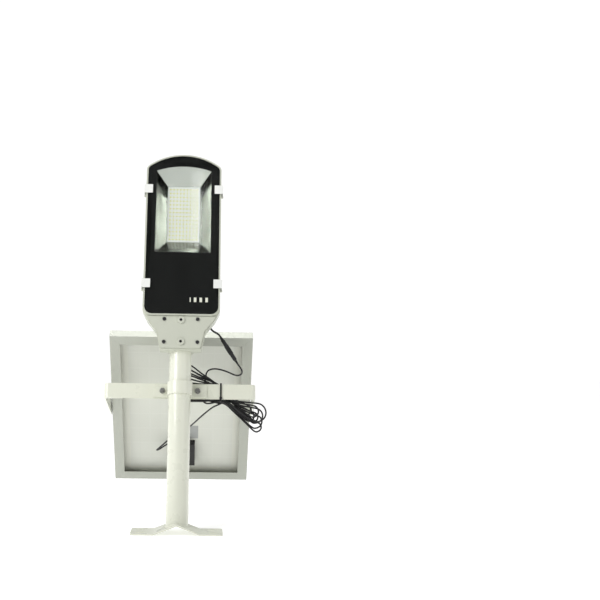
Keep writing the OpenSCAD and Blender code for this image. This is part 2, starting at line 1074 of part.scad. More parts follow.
// A rail that runs along the panel, on its right side, with mitred ends
module side_rail() {
    difference() {
        intersection() {
            translate([half_pw, 0, -half_l])
                linear_extrude(panel_l)
                    mirror([1, 0])
                        rail_section();
            slab(-frame_d, frame_d)
                polygon([
                    [half_pw + 1, -half_l - 1], [half_pw + 1, half_l + 1],
                    [half_pw - 40, half_l - 40], [half_pw - 40, -half_l + 40]
                ]);
        }
        rod_x(pivot_r, half_pw - 5, half_pw + 1);
    }
}

// A rail that runs across the panel, at its upper end, with mitred ends
module end_rail() {
    intersection() {
        translate([half_pw, 0, half_l])
            rotate([0, -90, 0])
                linear_extrude(panel_w)
                    mirror([1, 0])
                        rail_section();
        slab(-frame_d, frame_d)
            polygon([
                [-half_pw - 1, half_l + 1], [half_pw + 1, half_l + 1],
                [half_pw - 40, half_l - 40], [-half_pw + 40, half_l - 40]
            ]);
    }
}

module frame_top() {
    color("silver") on_panel() end_rail();
}

module frame_bottom() {
    color("silver") on_panel() mirror([0, 0, 1]) end_rail();
}

module frame_left() {
    color("silver") on_panel() mirror([1, 0, 0]) side_rail();
}

module frame_right() {
    color("silver") on_panel() side_rail();
}

module corner_keys() {
    x1 = half_pw - rail_wall;
    z1 = half_l - rail_wall;
    key_w = 8;
    y0 = frame_back_y + rail_wall;
    color("gray")
        on_panel()
            for (sx = [0, 1], sz = [0, 1])
                mirror([sx, 0, 0])
                    mirror([0, 0, sz])
                        slab(y0, y0 + 10)
                            polygon([
                                [x1, z1], [x1 - key_len, z1], [x1 - key_len, z1 - key_w],
                                [x1 - key_w, z1 - key_w], [x1 - key_w, z1 - key_len],
                                [x1, z1 - key_len]
                            ]);
}

// One layer of the laminate, between two depths
module laminate(y0, y1) {
    gap = rail_wall + 0.5;
    slab(y0, y1)
        translate([-half_pw + gap, -half_l + gap])
            square([panel_w - 2 * gap, panel_l - 2 * gap]);
}

sheet_y = glass_seat_y;
cell_layer_y = sheet_y + sheet_t;
panel_glass_y = cell_layer_y + cell_t;

module panel_glass() {
    color("lightblue", 0.4)
        on_panel() laminate(panel_glass_y, panel_glass_y + panel_glass_t - 0.2);
}

module cell_layer() {
    color("navy") on_panel() laminate(cell_layer_y, panel_glass_y);
}

module backsheet() {
    color("whitesmoke") on_panel() laminate(sheet_y, cell_layer_y);
}

module rating_plate() {
    color("lightgray")
        on_panel()
            translate([plate_x - plate_w / 2, sheet_y - 0.5, plate_z - plate_h / 2])
                cube([plate_w, 0.5, plate_h]);
}

module junction_box() {
    wall = 3;
    color("black")
        on_panel()
            difference() {
                translate([box_x - box_w / 2, sheet_y - box_d, box_z - box_h / 2])
                    cube([box_w, box_d, box_h]);
                translate([box_x - box_w / 2 + wall, sheet_y - box_d - 1, box_z - box_h / 2 + wall])
                    cube([box_w - 2 * wall, box_d - wall + 1, box_h - 2 * wall]);
                translate([box_gland_x, 0, box_z + box_h / 2 - wall - 1])
                    cylinder(r = 5, h = wall + 2);
            }
}

module junction_lid() {
    y1 = sheet_y - box_d;
    rim = 3.2;
    color("black")
        on_panel()
            difference() {
                union() {
                    translate([box_x - box_w / 2, y1 - box_lid_t, box_z - box_h / 2])
                        cube([box_w, box_lid_t, box_h]);
                    translate([box_x - box_w / 2 + rim, y1, box_z - box_h / 2 + rim])
                        cube([box_w - 2 * rim, 2, box_h - 2 * rim]);
                }
                translate([box_x - box_w / 2 + rim + 1.5, y1, box_z - box_h / 2 + rim + 1.5])
                    cube([box_w - 2 * rim - 3, 4, box_h - 2 * rim - 3]);
            }
}

module junction_terminals() {
    floor_y = sheet_y - 3;
    color("goldenrod")
        on_panel() {
            for (s = [-1, 1])
                translate([box_x + s * 18 - 7, floor_y - 8, box_z - 12])
                    cube([14, 8, 24]);
            // bypass diode across the two terminals
            translate([box_x, floor_y - 4, box_z + 2])
                rod_x(2.6, -11, 11, 32);
        }
}

module junction_gland() {
    z0 = box_z + box_h / 2;
    color("black")
        on_panel()
            translate([box_gland_x, 0, z0])
                rotate_extrude()
                    polygon([
                        [panel_lead_r, -6], [5, -6], [5, 0], [8, 0], [8, 6], [5, 15],
                        [panel_lead_r, 15]
                    ]);
}

module pivot_bolts() {
    color("silver")
        on_panel()
            mirror_x() {
                hex_x(13, bar_half_w + 0.3, bar_half_w + 0.3 + head_t);
                rod_x(pivot_r, half_pw - rail_wall - nut_t - 3, bar_half_w + 0.3);
            }
}

module pivot_washers() {
    color("white")
        on_panel()
            mirror_x()
                difference() {
                    rod_x(9, half_pw, half_pw + 1.7);
                    rod_x(pivot_r, half_pw - 1, half_pw + 3);
                }
}

module pivot_nuts() {
    x1 = half_pw - rail_wall;
    color("silver")
        on_panel()
            mirror_x()
                difference() {
                    hex_x(13, x1 - nut_t, x1);
                    rod_x(pivot_r, x1 - nut_t - 1, x1 + 1);
                }
}

// ---------- cable ----------

connector_len = norm(connector_end - connector_start);
mate_z = 46;

module on_connector() {
    on_arm()
        between(connector_start, connector_end)
            children();
}

module lamp_lead() {
    color("black") on_arm() tube(lamp_lead_path, lamp_lead_r, lead_sides);
}

module connector_socket() {
    color("black")
        on_connector()
            rotate_extrude()
                polygon([
                    [0, 0], [3.6, 0], [4.5, 9], [5.4, 10], [5.4, 32], [4, 32], [4, mate_z],
                    [0, mate_z]
                ]);
}

module connector_plug() {
    color("black")
        on_connector()
            rotate_extrude()
                polygon([
                    [0, mate_z], [5.4, mate_z], [5.4, connector_len - 13],
                    [4.2, connector_len - 12], [2.8, connector_len], [0, connector_len]
                ]);
}

module connector_collar() {
    color("black")
        on_connector()
            rotate_extrude()
                polygon([[5.4, 28], [6.4, 28], [6.4, 56], [5.4, 56]]);
}

module connector_seal() {
    color("orangered")
        on_connector()
            rotate_extrude()
                polygon([[4, mate_z - 3], [5.4, mate_z - 3], [5.4, mate_z], [4, mate_z]]);
}

module lead_loop() {
    color("black") on_arm() tube(loop_path, panel_lead_r, lead_sides);
}

hank_y0 = bar_front_y + bar_t + head_t + 0.4;
hank_d = 20;

// Outline of the tied hank, seen along Y
hank_outline = [
    [-20, 372, 16], [-18, 464, 18], [26, 462, 8], [62, 432, 6], [80, 432, 6], [96, 412, 14],
    [112, 403, 10], [150, 386, 20], [190, 368, 8], [226, 352, 14], [242, 322, 16],
    [236, 284, 14], [216, 270, 10], [198, 286, 10], [118, 366, 4], [104, 362, 6], [70, 355, 10],
    [28, 356, 10]
];

module lead_hank() {
    color("black")
        on_arm()
            slab(hank_y0, hank_y0 + hank_d)
                polygon(soften(hank_outline));
}

module lead_to_panel() {
    path = concat(hank_lead_path, [for (p = box_lead_path) from_panel(p)]);
    color("black") on_arm() tube(path, panel_lead_r, lead_sides);
}

module cable_tie() {
    tie_w = 4.8;
    tie_t = 1.4;
    tie_x = 112;
    z0 = clamp_z - bar_h / 2;
    z1 = clamp_z + bar_h / 2;
    y0 = bar_front_y;
    y1 = hank_y0 + hank_d;
    color("black")
        on_arm()
            translate([tie_x - tie_w / 2, 0, 0])
                rotate([90, 0, 90]) {
                    linear_extrude(tie_w)
                        difference() {
                            translate([y0 - tie_t, z0 - tie_t])
                                square([y1 - y0 + 2 * tie_t, z1 - z0 + 2 * tie_t]);
                            translate([y0, z0])
                                square([y1 - y0, z1 - z0]);
                        }
                    translate([y0 - 5.5, z0 - 1, -1])
                        cube([5.5, 7, tie_w + 2]);
                }
}

arm_tube();
pole_bracket();
lamp_housing();
neck_cover();
cover_screws();
arm_clamp_screws();
cover_glass();
glass_print();
glass_gasket();
reflector();
led_board();
leds();
board_screws();
controller_board();
controller_parts();
controller_screws();
battery_cells();
cell_links();
battery_cradle();
cradle_screws();
lamp_gland_body();
lamp_gland_nut();
lamp_gland_locknut();
clip_upper_left();
clip_upper_right();
clip_lower_left();
clip_lower_right();
clip_pins();
u_bracket();
saddle_strap();
clamp_bolts();
clamp_washers();
clamp_nuts();
frame_top();
frame_bottom();
frame_left();
frame_right();
corner_keys();
panel_glass();
cell_layer();
backsheet();
rating_plate();
junction_box();
junction_lid();
junction_terminals();
junction_gland();
pivot_bolts();
pivot_washers();
pivot_nuts();
lamp_lead();
connector_socket();
connector_plug();
connector_collar();
connector_seal();
lead_loop();
lead_hank();
lead_to_panel();
cable_tie();
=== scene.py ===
import json
import math

import bmesh
import bpy
import numpy as np
from mathutils import Matrix, Vector


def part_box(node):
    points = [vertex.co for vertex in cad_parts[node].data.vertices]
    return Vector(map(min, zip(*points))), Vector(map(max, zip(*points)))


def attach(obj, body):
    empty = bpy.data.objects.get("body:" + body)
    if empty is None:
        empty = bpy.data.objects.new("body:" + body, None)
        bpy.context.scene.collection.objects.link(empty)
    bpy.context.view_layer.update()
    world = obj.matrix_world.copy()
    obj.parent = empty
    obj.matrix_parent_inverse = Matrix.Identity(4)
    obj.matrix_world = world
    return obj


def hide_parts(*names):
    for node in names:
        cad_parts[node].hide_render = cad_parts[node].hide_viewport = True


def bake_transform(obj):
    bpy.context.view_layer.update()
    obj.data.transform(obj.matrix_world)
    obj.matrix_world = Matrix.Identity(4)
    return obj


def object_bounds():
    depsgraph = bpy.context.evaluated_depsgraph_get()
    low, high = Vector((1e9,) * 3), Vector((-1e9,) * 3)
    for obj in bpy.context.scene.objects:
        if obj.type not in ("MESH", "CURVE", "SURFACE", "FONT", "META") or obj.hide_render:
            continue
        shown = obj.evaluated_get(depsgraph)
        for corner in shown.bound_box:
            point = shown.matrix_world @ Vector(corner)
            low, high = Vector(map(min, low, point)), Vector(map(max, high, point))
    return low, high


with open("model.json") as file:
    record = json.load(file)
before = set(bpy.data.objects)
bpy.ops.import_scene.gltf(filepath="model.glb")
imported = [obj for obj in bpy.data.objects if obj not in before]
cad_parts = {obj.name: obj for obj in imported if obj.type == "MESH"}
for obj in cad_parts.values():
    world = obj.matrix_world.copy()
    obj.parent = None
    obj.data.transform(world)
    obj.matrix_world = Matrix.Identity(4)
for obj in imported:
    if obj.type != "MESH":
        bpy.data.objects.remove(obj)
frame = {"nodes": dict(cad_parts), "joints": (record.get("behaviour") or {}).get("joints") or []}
CAD_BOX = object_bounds()
NODES = frame["nodes"]
JOINTS = {j["name"]: j for j in frame["joints"]}

# ---------- the CAD's own frames, in metres ----------
# The arm's upright frame leans back about X. The panel's frame sits on its pivot.

turn_axis = Vector(JOINTS["bracket_turn"]["axis"])
pivot = Vector(JOINTS["panel_tilt"]["pos_m"])
LEAN = math.atan2(turn_axis.y, turn_axis.z)
ARM = Matrix.Rotation(-LEAN, 4, "X")


def middle(node):
    low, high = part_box(node)
    return (low + high) / 2


panel_up = (middle("frame_top") - middle("frame_bottom")).normalized()
PANEL = Matrix.Translation(pivot) @ Matrix.Rotation(math.atan2(-panel_up.y, panel_up.z), 4, "X")


def on_arm(point):
    return ARM @ Vector(point)


def on_panel(point):
    return PANEL @ Vector(point)


def arm_box(node):
    """Lowest and highest corner of a CAD node in the arm's frame."""
    back = ARM.inverted()
    places = np.array([back @ v.co for v in NODES[node].data.vertices])
    return Vector(places.min(0)), Vector(places.max(0))


# ---------- camera ----------

def make_camera():
    place = Vector((0.062, -2.826, 0.5104))
    yaw, pitch, roll = (math.radians(a) for a in (-1.929, 1.526, 0.867))
    turn = Matrix.Rotation(yaw, 3, "Z") @ Matrix.Rotation(pitch, 3, "X")
    right, ahead, up = turn.col[0], turn.col[1], turn.col[2]
    across = right * math.cos(roll) + up * math.sin(roll)
    upward = up * math.cos(roll) - right * math.sin(roll)
    camera = bpy.data.objects.new("Camera", bpy.data.cameras.new("Camera"))
    bpy.context.scene.collection.objects.link(camera)
    facing = Matrix((across, upward, -ahead)).transposed().to_4x4()
    camera.matrix_world = Matrix.Translation(place) @ facing
    camera.data.lens = 64.33
    camera.data.sensor_width = 36
    camera.data.shift_x = 0.10
    camera.data.shift_y = 0.0167
    bpy.context.scene.camera = camera


make_camera()

# ---------- meshes and curves ----------

def add_object(name, data, place=None):
    made = bpy.data.objects.new(name, data)
    bpy.context.scene.collection.objects.link(made)
    if place is not None:
        made.matrix_world = place
    return made


def smooth_route(points, step):
    """A smooth line through the points, with its own points about step apart."""
    p = np.array([tuple(q) for q in points], float)
    p = np.vstack([2 * p[0] - p[1], p, 2 * p[-1] - p[-2]])
    line = []
    for a, b, c, d in zip(p, p[1:], p[2:], p[3:]):
        count = max(1, round(float(np.linalg.norm(c - b)) / step))
        for k in range(count):
            t = k / count
            line.append(
                0.5 * (2 * b + (c - a) * t + (2 * a - 5 * b + 4 * c - d) * t ** 2
                       + (3 * b - a - 3 * c + d) * t ** 3)
            )
    line.append(p[-2])
    return np.array(line)


def carried_frames(line):
    """Two directions across the line at each of its points, carried along it without twist."""
    ahead = np.gradient(line, axis=0)
    ahead /= np.linalg.norm(ahead, axis=1)[:, None]
    side = np.array([0.0, 0.0, 1.0]) if abs(ahead[0][2]) < 0.9 else np.array([0.0, 1.0, 0.0])
    sides = []
    for t in ahead:
        side = side - t * (side @ t)
        side /= np.linalg.norm(side)
        sides.append(side)
    sides = np.array(sides)
    return sides, np.cross(ahead, sides)


def tube_mesh(name, line, radius, around=14):
    """A closed tube along a line."""
    sides, tops = carried_frames(line)
    bm = bmesh.new()
    rings = []
    for centre, side, top in zip(line, sides, tops):
        rings.append([
            bm.verts.new(centre + radius * (math.cos(a) * side + math.sin(a) * top))
            for a in (2 * math.pi * k / around for k in range(around))
        ])
    for low, high in zip(rings, rings[1:]):
        for k in range(around):
            n = (k + 1) % around
            bm.faces.new((low[k], low[n], high[n], high[k])).smooth = True
    bm.faces.new(rings[0][::-1])
    bm.faces.new(rings[-1])
    mesh = bpy.data.meshes.new(name)
    bm.to_mesh(mesh)
    bm.free()
    return mesh


def turned(profile, around=40, flutes=0, depth=0.0):
    """A mesh turned about Z from (radius, height) pairs, with flutes cut down its widest rings."""
    bm = bmesh.new()
    fluted_from = 0.85 * max(r for r, _ in profile)
    rings = []
    for r, z in profile:
        if r == 0:
            rings.append([bm.verts.new((0, 0, z))])
            continue
        cut = depth if flutes and r > fluted_from else 0.0
        ring = []
        for k in range(around):
            a = 2 * math.pi * k / around
            d = r - cut * (0.5 - 0.5 * math.cos(flutes * a)) ** 2
            ring.append(bm.verts.new((d * math.cos(a), d * math.sin(a), z)))
        rings.append(ring)
    for low, high in zip(rings, rings[1:]):
        for k in range(around):
            n = (k + 1) % around
            corners = [low[k % len(low)], low[n % len(low)], high[n % len(high)], high[k % len(high)]]
            corners = list(dict.fromkeys(corners))     # a ring of one point gives triangles
            if len(corners) > 2:
                bm.faces.new(corners)
    bmesh.ops.recalc_face_normals(bm, faces=bm.faces)
    return bm


def mesh_from(bm, name, smooth_deg=35):
    mesh = bpy.data.meshes.new(name)
    for face in bm.faces:
        face.smooth = True
    bm.to_mesh(mesh)
    bm.free()
    mesh.set_sharp_from_angle(angle=math.radians(smooth_deg))
    return mesh


def box_mesh(bm, low, high, edge=0.0, segments=2):
    """Adds a block with rounded edges to a bmesh."""
    size = [h - l for l, h in zip(low, high)]
    centre = [(l + h) / 2 for l, h in zip(low, high)]
    place = Matrix.Translation(centre) @ Matrix.Diagonal((*size, 1))
    made = bmesh.ops.create_cube(bm, size=1, matrix=place)
    if edge:
        edges = {e for v in made["verts"] for e in v.link_edges}
        bmesh.ops.bevel(bm, geom=list(edges), offset=edge, segments=segments, profile=0.5,
                        affect="EDGES")


# ---------- cords ----------
# Routes in metres, in the arm's frame, except FOLD_TO_BOX, which is in the panel's.

LAMP_LEAD_D = 0.0055
PANEL_LEAD_D = 0.0045
LEAD_STEP = 0.0025        # how far apart the points of a lead are
TURNS_STEP = 0.004        # the same while the hank's turns are pushed apart
HANK_STEP = 0.0022        # the same for the hank once they lie still
HANK_GAP = 1.06           # how far apart its strands are pushed, in diameters
HANK_SMOOTHINGS = 3

LAMP_LEAD = [
    (0.081, 0.0075, 0.569), (0.081, 0.0075, 0.5635), (0.0822, 0.008, 0.558), (0.0855, 0.009, 0.5535),
    (0.0905, 0.0105, 0.55), (0.0965, 0.0125, 0.5474), (0.102, 0.0144, 0.5446), (0.1065, 0.01575, 0.5405),
    (0.1095, 0.0165, 0.536),
]
CONNECTOR_ENDS = [(0.1095, 0.0165, 0.536), (0.1575, 0.0285, 0.464)]
LOOP = [
    (0.1575, 0.0285, 0.464), (0.1607, 0.0293, 0.4592), (0.1646, 0.0306, 0.454),
    (0.1682, 0.0324, 0.449), (0.1703, 0.0344, 0.444), (0.1701, 0.0363, 0.4394),
    (0.1672, 0.0377, 0.4354), (0.1613, 0.0389, 0.4332), (0.154, 0.04, 0.4334),
    (0.144, 0.041, 0.437), (0.131, 0.042, 0.443), (0.114, 0.043, 0.449),
    (0.097, 0.044, 0.4518), (0.0855, 0.045, 0.4508), (0.077, 0.0455, 0.447),
    (0.0725, 0.046, 0.441), (0.071, 0.046, 0.4365), (0.071, 0.046, 0.432),
]
HANK_TO_PANEL = [
    (0.122, 0.046, 0.362), (0.1185, 0.046, 0.3585), (0.112, 0.0485, 0.3545), (0.102, 0.054, 0.351),
    (0.0895, 0.064, 0.3465), (0.0725, 0.085, 0.337), (0.056, 0.112, 0.3275), (0.043, 0.14, 0.3205),
    (0.0295, 0.17, 0.314), (0.0135, 0.205, 0.308), (-0.0045, 0.243, 0.3035), (-0.0215, 0.28, 0.3005),
]
FOLD_TO_BOX = [
    (-0.038, -0.036, -0.092), (-0.05, -0.0365, -0.105), (-0.061, -0.0355, -0.1185),
    (-0.0672, -0.0315, -0.1289), (-0.0713, -0.0283, -0.136), (-0.0728, -0.0249, -0.1413),
    (-0.071, -0.0201, -0.1451), (-0.0665, -0.0156, -0.146), (-0.061, -0.0132, -0.1438),
    (-0.0525, -0.0105, -0.1385), (-0.0395, -0.009, -0.129), (-0.03, -0.007, -0.1205),
    (-0.022, -0.005, -0.11), (-0.0155, -0.004, -0.101), (-0.007, -0.003, -0.0945),
    (0.0025, -0.002, -0.092), (0.012, -0.001, -0.0945), (0.0175, -0.0005, -0.1015),
    (0.019, 0, -0.108), (0.019, 0, -0.114),
]

# The hank's ends: (centre x, centre z, radius, depth y) of each fold on the right, then
# (top, bottom, left edge, depth y) of each fold behind the arm.
RIGHT_FOLDS = [
    (0.212, 0.330, 0.026, 0.045), (0.208, 0.323, 0.021, 0.051), (0.209, 0.307, 0.018, 0.056),
    (0.200, 0.333, 0.017, 0.043), (0.193, 0.322, 0.0135, 0.057), (0.212, 0.2915, 0.0135, 0.052),
    (0.184, 0.337, 0.0135, 0.048), (0.203, 0.318, 0.014, 0.054),
]
LEFT_FOLDS = [
    (0.460, 0.361, -0.017, 0.044), (0.447, 0.366, -0.013, 0.049), (0.4385, 0.372, -0.009, 0.053),
    (0.4315, 0.380, -0.005, 0.046), (0.423, 0.387, 0.000, 0.051), (0.4135, 0.391, 0.004, 0.055),
    (0.4495, 0.362, -0.015, 0.057),
]
TIE_X = 0.112
HANK_DEPTH = (0.0424, 0.0576)
LANES_Y = (0.044, 0.049, 0.054, 0.0575)    # where strands pass through the tie, one after the other
LANES_Z = (0.3605, 0.365)


def right_fold(fold, lane_y, lane_z, last):
    """From the tie's lower side out along the hank's lower edge, round the fold and back."""
    x, z, r, y = fold
    arc = [(x + r * math.cos(math.radians(a)), y, z + r * math.sin(math.radians(a)))
           for a in (-135, -95, -55, -15, 25, 60, 85)]
    way_back = [(0.165, y, 0.5 * (z + r) + 0.182), (0.138, 0.5 * (y + lane_y), 0.3665)]
    crossing = [(0.128, 0.046, 0.3662)] if last else [
        (0.126, lane_y, 0.369), (0.116, lane_y, 0.381), (0.109, lane_y, 0.394), (0.103, lane_y, 0.406)
    ]
    return [(TIE_X, lane_y, lane_z), (0.127, lane_y, 0.3585), *arc, *way_back, *crossing]


def left_fold(fold, lane_y, lane_z):
    """From the bar's top edge up behind the arm, down, and back along the bar."""
    top, bottom, left, y = fold
    r = min(0.024, (top - bottom) / 2 - 0.001)
    return [
        (0.084, 0.5 * (y + lane_y), 0.4075 + 0.27 * (top - 0.4075)),
        (0.056, y, 0.406 + 0.64 * (top - 0.406)), (0.030, y, top), (0.012, y, top + 0.003),
        (left + 0.008, y, top - 0.004), (left, y, top - 0.016), (left, y, (top + bottom) / 2),
        (left, y, bottom + r - 0.006), (left + 0.007, y, bottom + 0.003), (0.014, y, bottom - 0.001),
        (0.034, y, bottom), (0.064, 0.5 * (y + lane_y), bottom + 0.4 * (0.3625 - bottom)),
        (0.092, lane_y, 0.75 * lane_z + 0.25 * bottom),
    ]


def hank_route():
    """The hank in the arm's frame: turns squeezed together at the tie, open at both ends."""
    start = [(0.071, 0.046, 0.432), (0.0705, 0.047, 0.427), (0.068, 0.054, 0.417),
             (0.066, 0.057, 0.400), (0.063, 0.055, 0.380), (0.0625, 0.050, 0.366),
             (0.067, 0.048, 0.3575), (0.077, 0.048, 0.3545), (0.092, 0.048, 0.3565)]
    route = list(start)
    for k, fold in enumerate(RIGHT_FOLDS):
        last = k == len(RIGHT_FOLDS) - 1
        lane_y, lane_z = LANES_Y[k % 4], LANES_Z[k % 2]
        route += right_fold(fold, lane_y, lane_z, last)
        if not last:
            route += left_fold(LEFT_FOLDS[k], lane_y, LANES_Z[1 - k % 2])
    return route + [(0.122, 0.046, 0.362)]


def settle(line, thick, rounds=160, held=4, ease=0.55):
    """Pushes strands nearer than thick apart, a little each round; the held points at each end stay."""
    rest, line = line.copy(), line.copy()
    count = len(line)
    index = np.arange(count)
    apart = index[None, :] - index[:, None] > held
    for _ in range(rounds):
        square = (line ** 2).sum(1)
        far2 = square[:, None] + square[None, :] - 2 * line @ line.T
        i, j = np.nonzero(apart & (far2 < thick ** 2))
        gap = line[i] - line[j]
        far = np.maximum(np.linalg.norm(gap, axis=1), 1e-6)
        push = ((thick - far) / 2 / far)[:, None] * gap
        move = np.zeros_like(line)
        np.add.at(move, i, push)
        np.add.at(move, j, -push)
        offset = line + ease * move - rest
        offset[1:-1] = 0.5 * offset[1:-1] + 0.25 * (offset[:-2] + offset[2:])
        offset[:held] = 0
        offset[-held:] = 0
        line = rest + offset
        line[:, 1] = np.clip(line[:, 1], *HANK_DEPTH)
    return line


def to_world(line, place):
    return np.array([place @ Vector(p) for p in line])


def curve_cord(name, line, radius):
    """A round cord as one open spline."""
    data = bpy.data.curves.new(name, "CURVE")
    data.dimensions = "3D"
    data.bevel_depth = 1.0     # the points carry the radius, so that the curve's box is its own size
    data.bevel_resolution = 4
    data.use_fill_caps = True
    spline = data.splines.new("POLY")
    spline.points.add(len(line) - 1)
    spline.points.foreach_set("co", np.c_[line, np.ones(len(line))].ravel())
    spline.points.foreach_set("radius", np.full(len(line), radius))
    spline.use_smooth = True
    return add_object(name, data)


def make_cords():
    lamp = smooth_route([on_arm(p) for p in LAMP_LEAD], LEAD_STEP)
    lamp_lead = curve_cord("LampLead", lamp, LAMP_LEAD_D / 2)
    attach(lamp_lead, "lamp")
    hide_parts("lamp_lead")

    loop = smooth_route([on_arm(p) for p in LOOP], LEAD_STEP)
    loop_piece = add_object("PanelLeadLoop", tube_mesh("PanelLeadLoop", loop, PANEL_LEAD_D / 2))
    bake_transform(loop_piece)
    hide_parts("lead_loop")

    turns = settle(smooth_route(hank_route(), TURNS_STEP), HANK_GAP * PANEL_LEAD_D)
    for _ in range(HANK_SMOOTHINGS):
        turns[1:-1] = (turns[:-2] + 2 * turns[1:-1] + turns[2:]) / 4
    turns = to_world(smooth_route(turns, HANK_STEP), ARM)
    hank = curve_cord("PanelLeadHank", turns, PANEL_LEAD_D / 2)
    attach(hank, "bracket")
    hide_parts("lead_hank")

    way = [on_arm(p) for p in HANK_TO_PANEL] + [on_panel(p) for p in FOLD_TO_BOX]
    tail = smooth_route(way, LEAD_STEP)
    tail_piece = add_object("PanelLeadEnd", tube_mesh("PanelLeadEnd", tail, PANEL_LEAD_D / 2))
    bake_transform(tail_piece)
    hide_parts("lead_to_panel")
    return [lamp_lead, loop_piece, hank, tail_piece]


cords = make_cords()

# ---------- materials ----------

ARM_ROT = tuple(ARM.to_euler())
PANEL_FACE = PANEL @ Matrix.Rotation(math.radians(90), 4, "X")   # X across, Y up the panel
RANGE_SOCKETS = ("From Min", "From Max", "To Min", "To Max")


class Look:
    """A node material around one Principled shader, with its detail in object coordinates."""

    def __init__(self, name, base, rough, metal=0.0, coat=0.0, specular=0.5):
        self.made = bpy.data.materials.new(name)
        self.made.use_nodes = True
        self.tree = self.made.node_tree
        self.shader = self.tree.nodes["Principled BSDF"]
        self.rough = rough
        self.height = None
        self.set(self.shader, "Roughness", rough)
        self.set(self.shader, "Metallic", metal)
        self.set(self.shader, "Coat Weight", coat)
        self.set(self.shader, "Coat Roughness", 0.12)
        self.set(self.shader, "Specular IOR Level", specular)
        self.colour = self.node("ShaderNodeRGB").outputs[0]
        self.colour.default_value = (*base, 1)

    def node(self, kind, **values):
        made = self.tree.nodes.new(kind)
        for key, value in values.items():
            setattr(made, key, value)
        return made

    def set(self, node, socket, value):
        """Puts a value, or another node's output, on a socket."""
        socket = node.inputs[socket]
        if isinstance(value, bpy.types.NodeSocket):
            self.tree.links.new(value, socket)
        else:
            socket.default_value = value

    def place(self, scale=(1, 1, 1), rotation=(0, 0, 0), location=(0, 0, 0)):
        """Coordinates in a turned frame, stretched by scale."""
        found = self.node("ShaderNodeTexCoord").outputs["Object"]
        turn = self.node("ShaderNodeMapping", vector_type="TEXTURE")
        self.set(turn, "Vector", found)
        self.set(turn, "Rotation", rotation)
        self.set(turn, "Location", location)
        stretch = self.node("ShaderNodeVectorMath", operation="MULTIPLY")
        self.set(stretch, 0, turn.outputs[0])
        self.set(stretch, 1, scale)
        return stretch.outputs[0]

    def noise(self, scale, detail=3, where=None, roughness=0.55):
        made = self.node("ShaderNodeTexNoise")
        self.set(made, "Vector", where or self.place())
        self.set(made, "Scale", scale)
        self.set(made, "Detail", detail)
        self.set(made, "Roughness", roughness)
        return made.outputs["Fac"]

    def scaled(self, value, low, high, start=0.3, stop=0.7):
        made = self.node("ShaderNodeMapRange")
        self.set(made, "Value", value)
        for socket, number in zip(RANGE_SOCKETS, (start, stop, low, high)):
            self.set(made, socket, number)
        return made.outputs[0]

    def tint(self, factor, colour):
        """Blends the colour so far towards another one."""
        made = self.node("ShaderNodeMix", data_type="RGBA")
        self.set(made, 0, factor)
        self.set(made, 6, self.colour)
        self.set(made, 7, (*colour, 1))
        self.colour = made.outputs[2]
        return self

    def mottle(self, scale, colour, amount, detail=3, where=None):
        return self.tint(self.scaled(self.noise(scale, detail, where), 0, amount), colour)

    def uneven(self, scale, spread, detail=3, where=None):
        low, high = self.rough - spread, self.rough + spread
        self.set(self.shader, "Roughness", self.scaled(self.noise(scale, detail, where), low, high))
        return self

    def bump(self, value, depth, strength=1.0):
        made = self.node("ShaderNodeBump")
        self.set(made, "Height", value)
        self.set(made, "Distance", depth)
        self.set(made, "Strength", strength)
        if self.height is not None:
            self.set(made, "Normal", self.height)
        self.height = made.outputs[0]
        return self

    def done(self):
        self.set(self.shader, "Base Color", self.colour)
        if self.height is not None:
            self.set(self.shader, "Normal", self.height)
        return self.made


def darker(colour, by):
    return tuple(c * by for c in colour)


def powder_coat(name, base, rough, grain, coat=0.35):
    """Satin powder coat: orange peel, faint cloudiness, a little dust."""
    look = Look(name, base, rough, coat=coat)
    look.mottle(7, darker(base, 0.93), 0.5)
    look.mottle(160, darker(base, 0.96), 0.35, detail=2)
    look.uneven(30, 0.05)
    look.bump(look.noise(420, 2), 0.00012 * grain, 0.3)
    look.bump(look.noise(1500, 2), 0.00005 * grain, 0.3)
    return look.done()


def clear_glass(name, tint, index):
    """Thin clear glass: what is behind it, with a reflection that grows towards its edge."""
    look = Look(name, tint, 0.04)
    clear = look.node("ShaderNodeBsdfTransparent")
    look.set(clear, "Color", (*tint, 1))
    gloss = look.node("ShaderNodeBsdfAnisotropic")
    look.set(gloss, "Roughness", look.scaled(look.noise(18, 2), 0.02, 0.07))
    look.bump(look.noise(9, 2), 0.0006, 0.2)
    look.set(gloss, "Normal", look.height)
    fresnel = look.node("ShaderNodeFresnel")
    look.set(fresnel, "IOR", index)
    mixed = look.node("ShaderNodeMixShader")
    look.set(mixed, 0, fresnel.outputs[0])
    look.set(mixed, 1, clear.outputs[0])
    look.set(mixed, 2, gloss.outputs[0])
    look.tree.nodes.remove(look.shader)
    look.set(look.tree.nodes["Material Output"], "Surface", mixed.outputs[0])
    return look.made


def brushed(name, base, rough, metal, along, scale=900, depth=0.00006, spread=0.07):
    """Metal with fine lines along one direction."""
    look = Look(name, base, rough, metal)
    lines = look.place(scale=along, rotation=ARM_ROT)
    look.mottle(scale, darker(base, 0.8), 0.35, detail=4, where=lines)
    look.mottle(12, darker(base, 0.9), 0.4)
    look.uneven(scale / 3, spread, 4, lines)
    look.bump(look.noise(scale, 4, lines), depth, 0.4)
    return look.done()


def plated(name, base, rough=0.34, metal=0.9):
    look = Look(name, base, rough, metal)
    look.mottle(220, darker(base, 0.72), 0.5, detail=4)
    look.mottle(35, darker(base, 0.85), 0.5)
    look.uneven(300, 0.1)
    look.bump(look.noise(1400, 3), 0.00008, 0.4)
    return look.done()


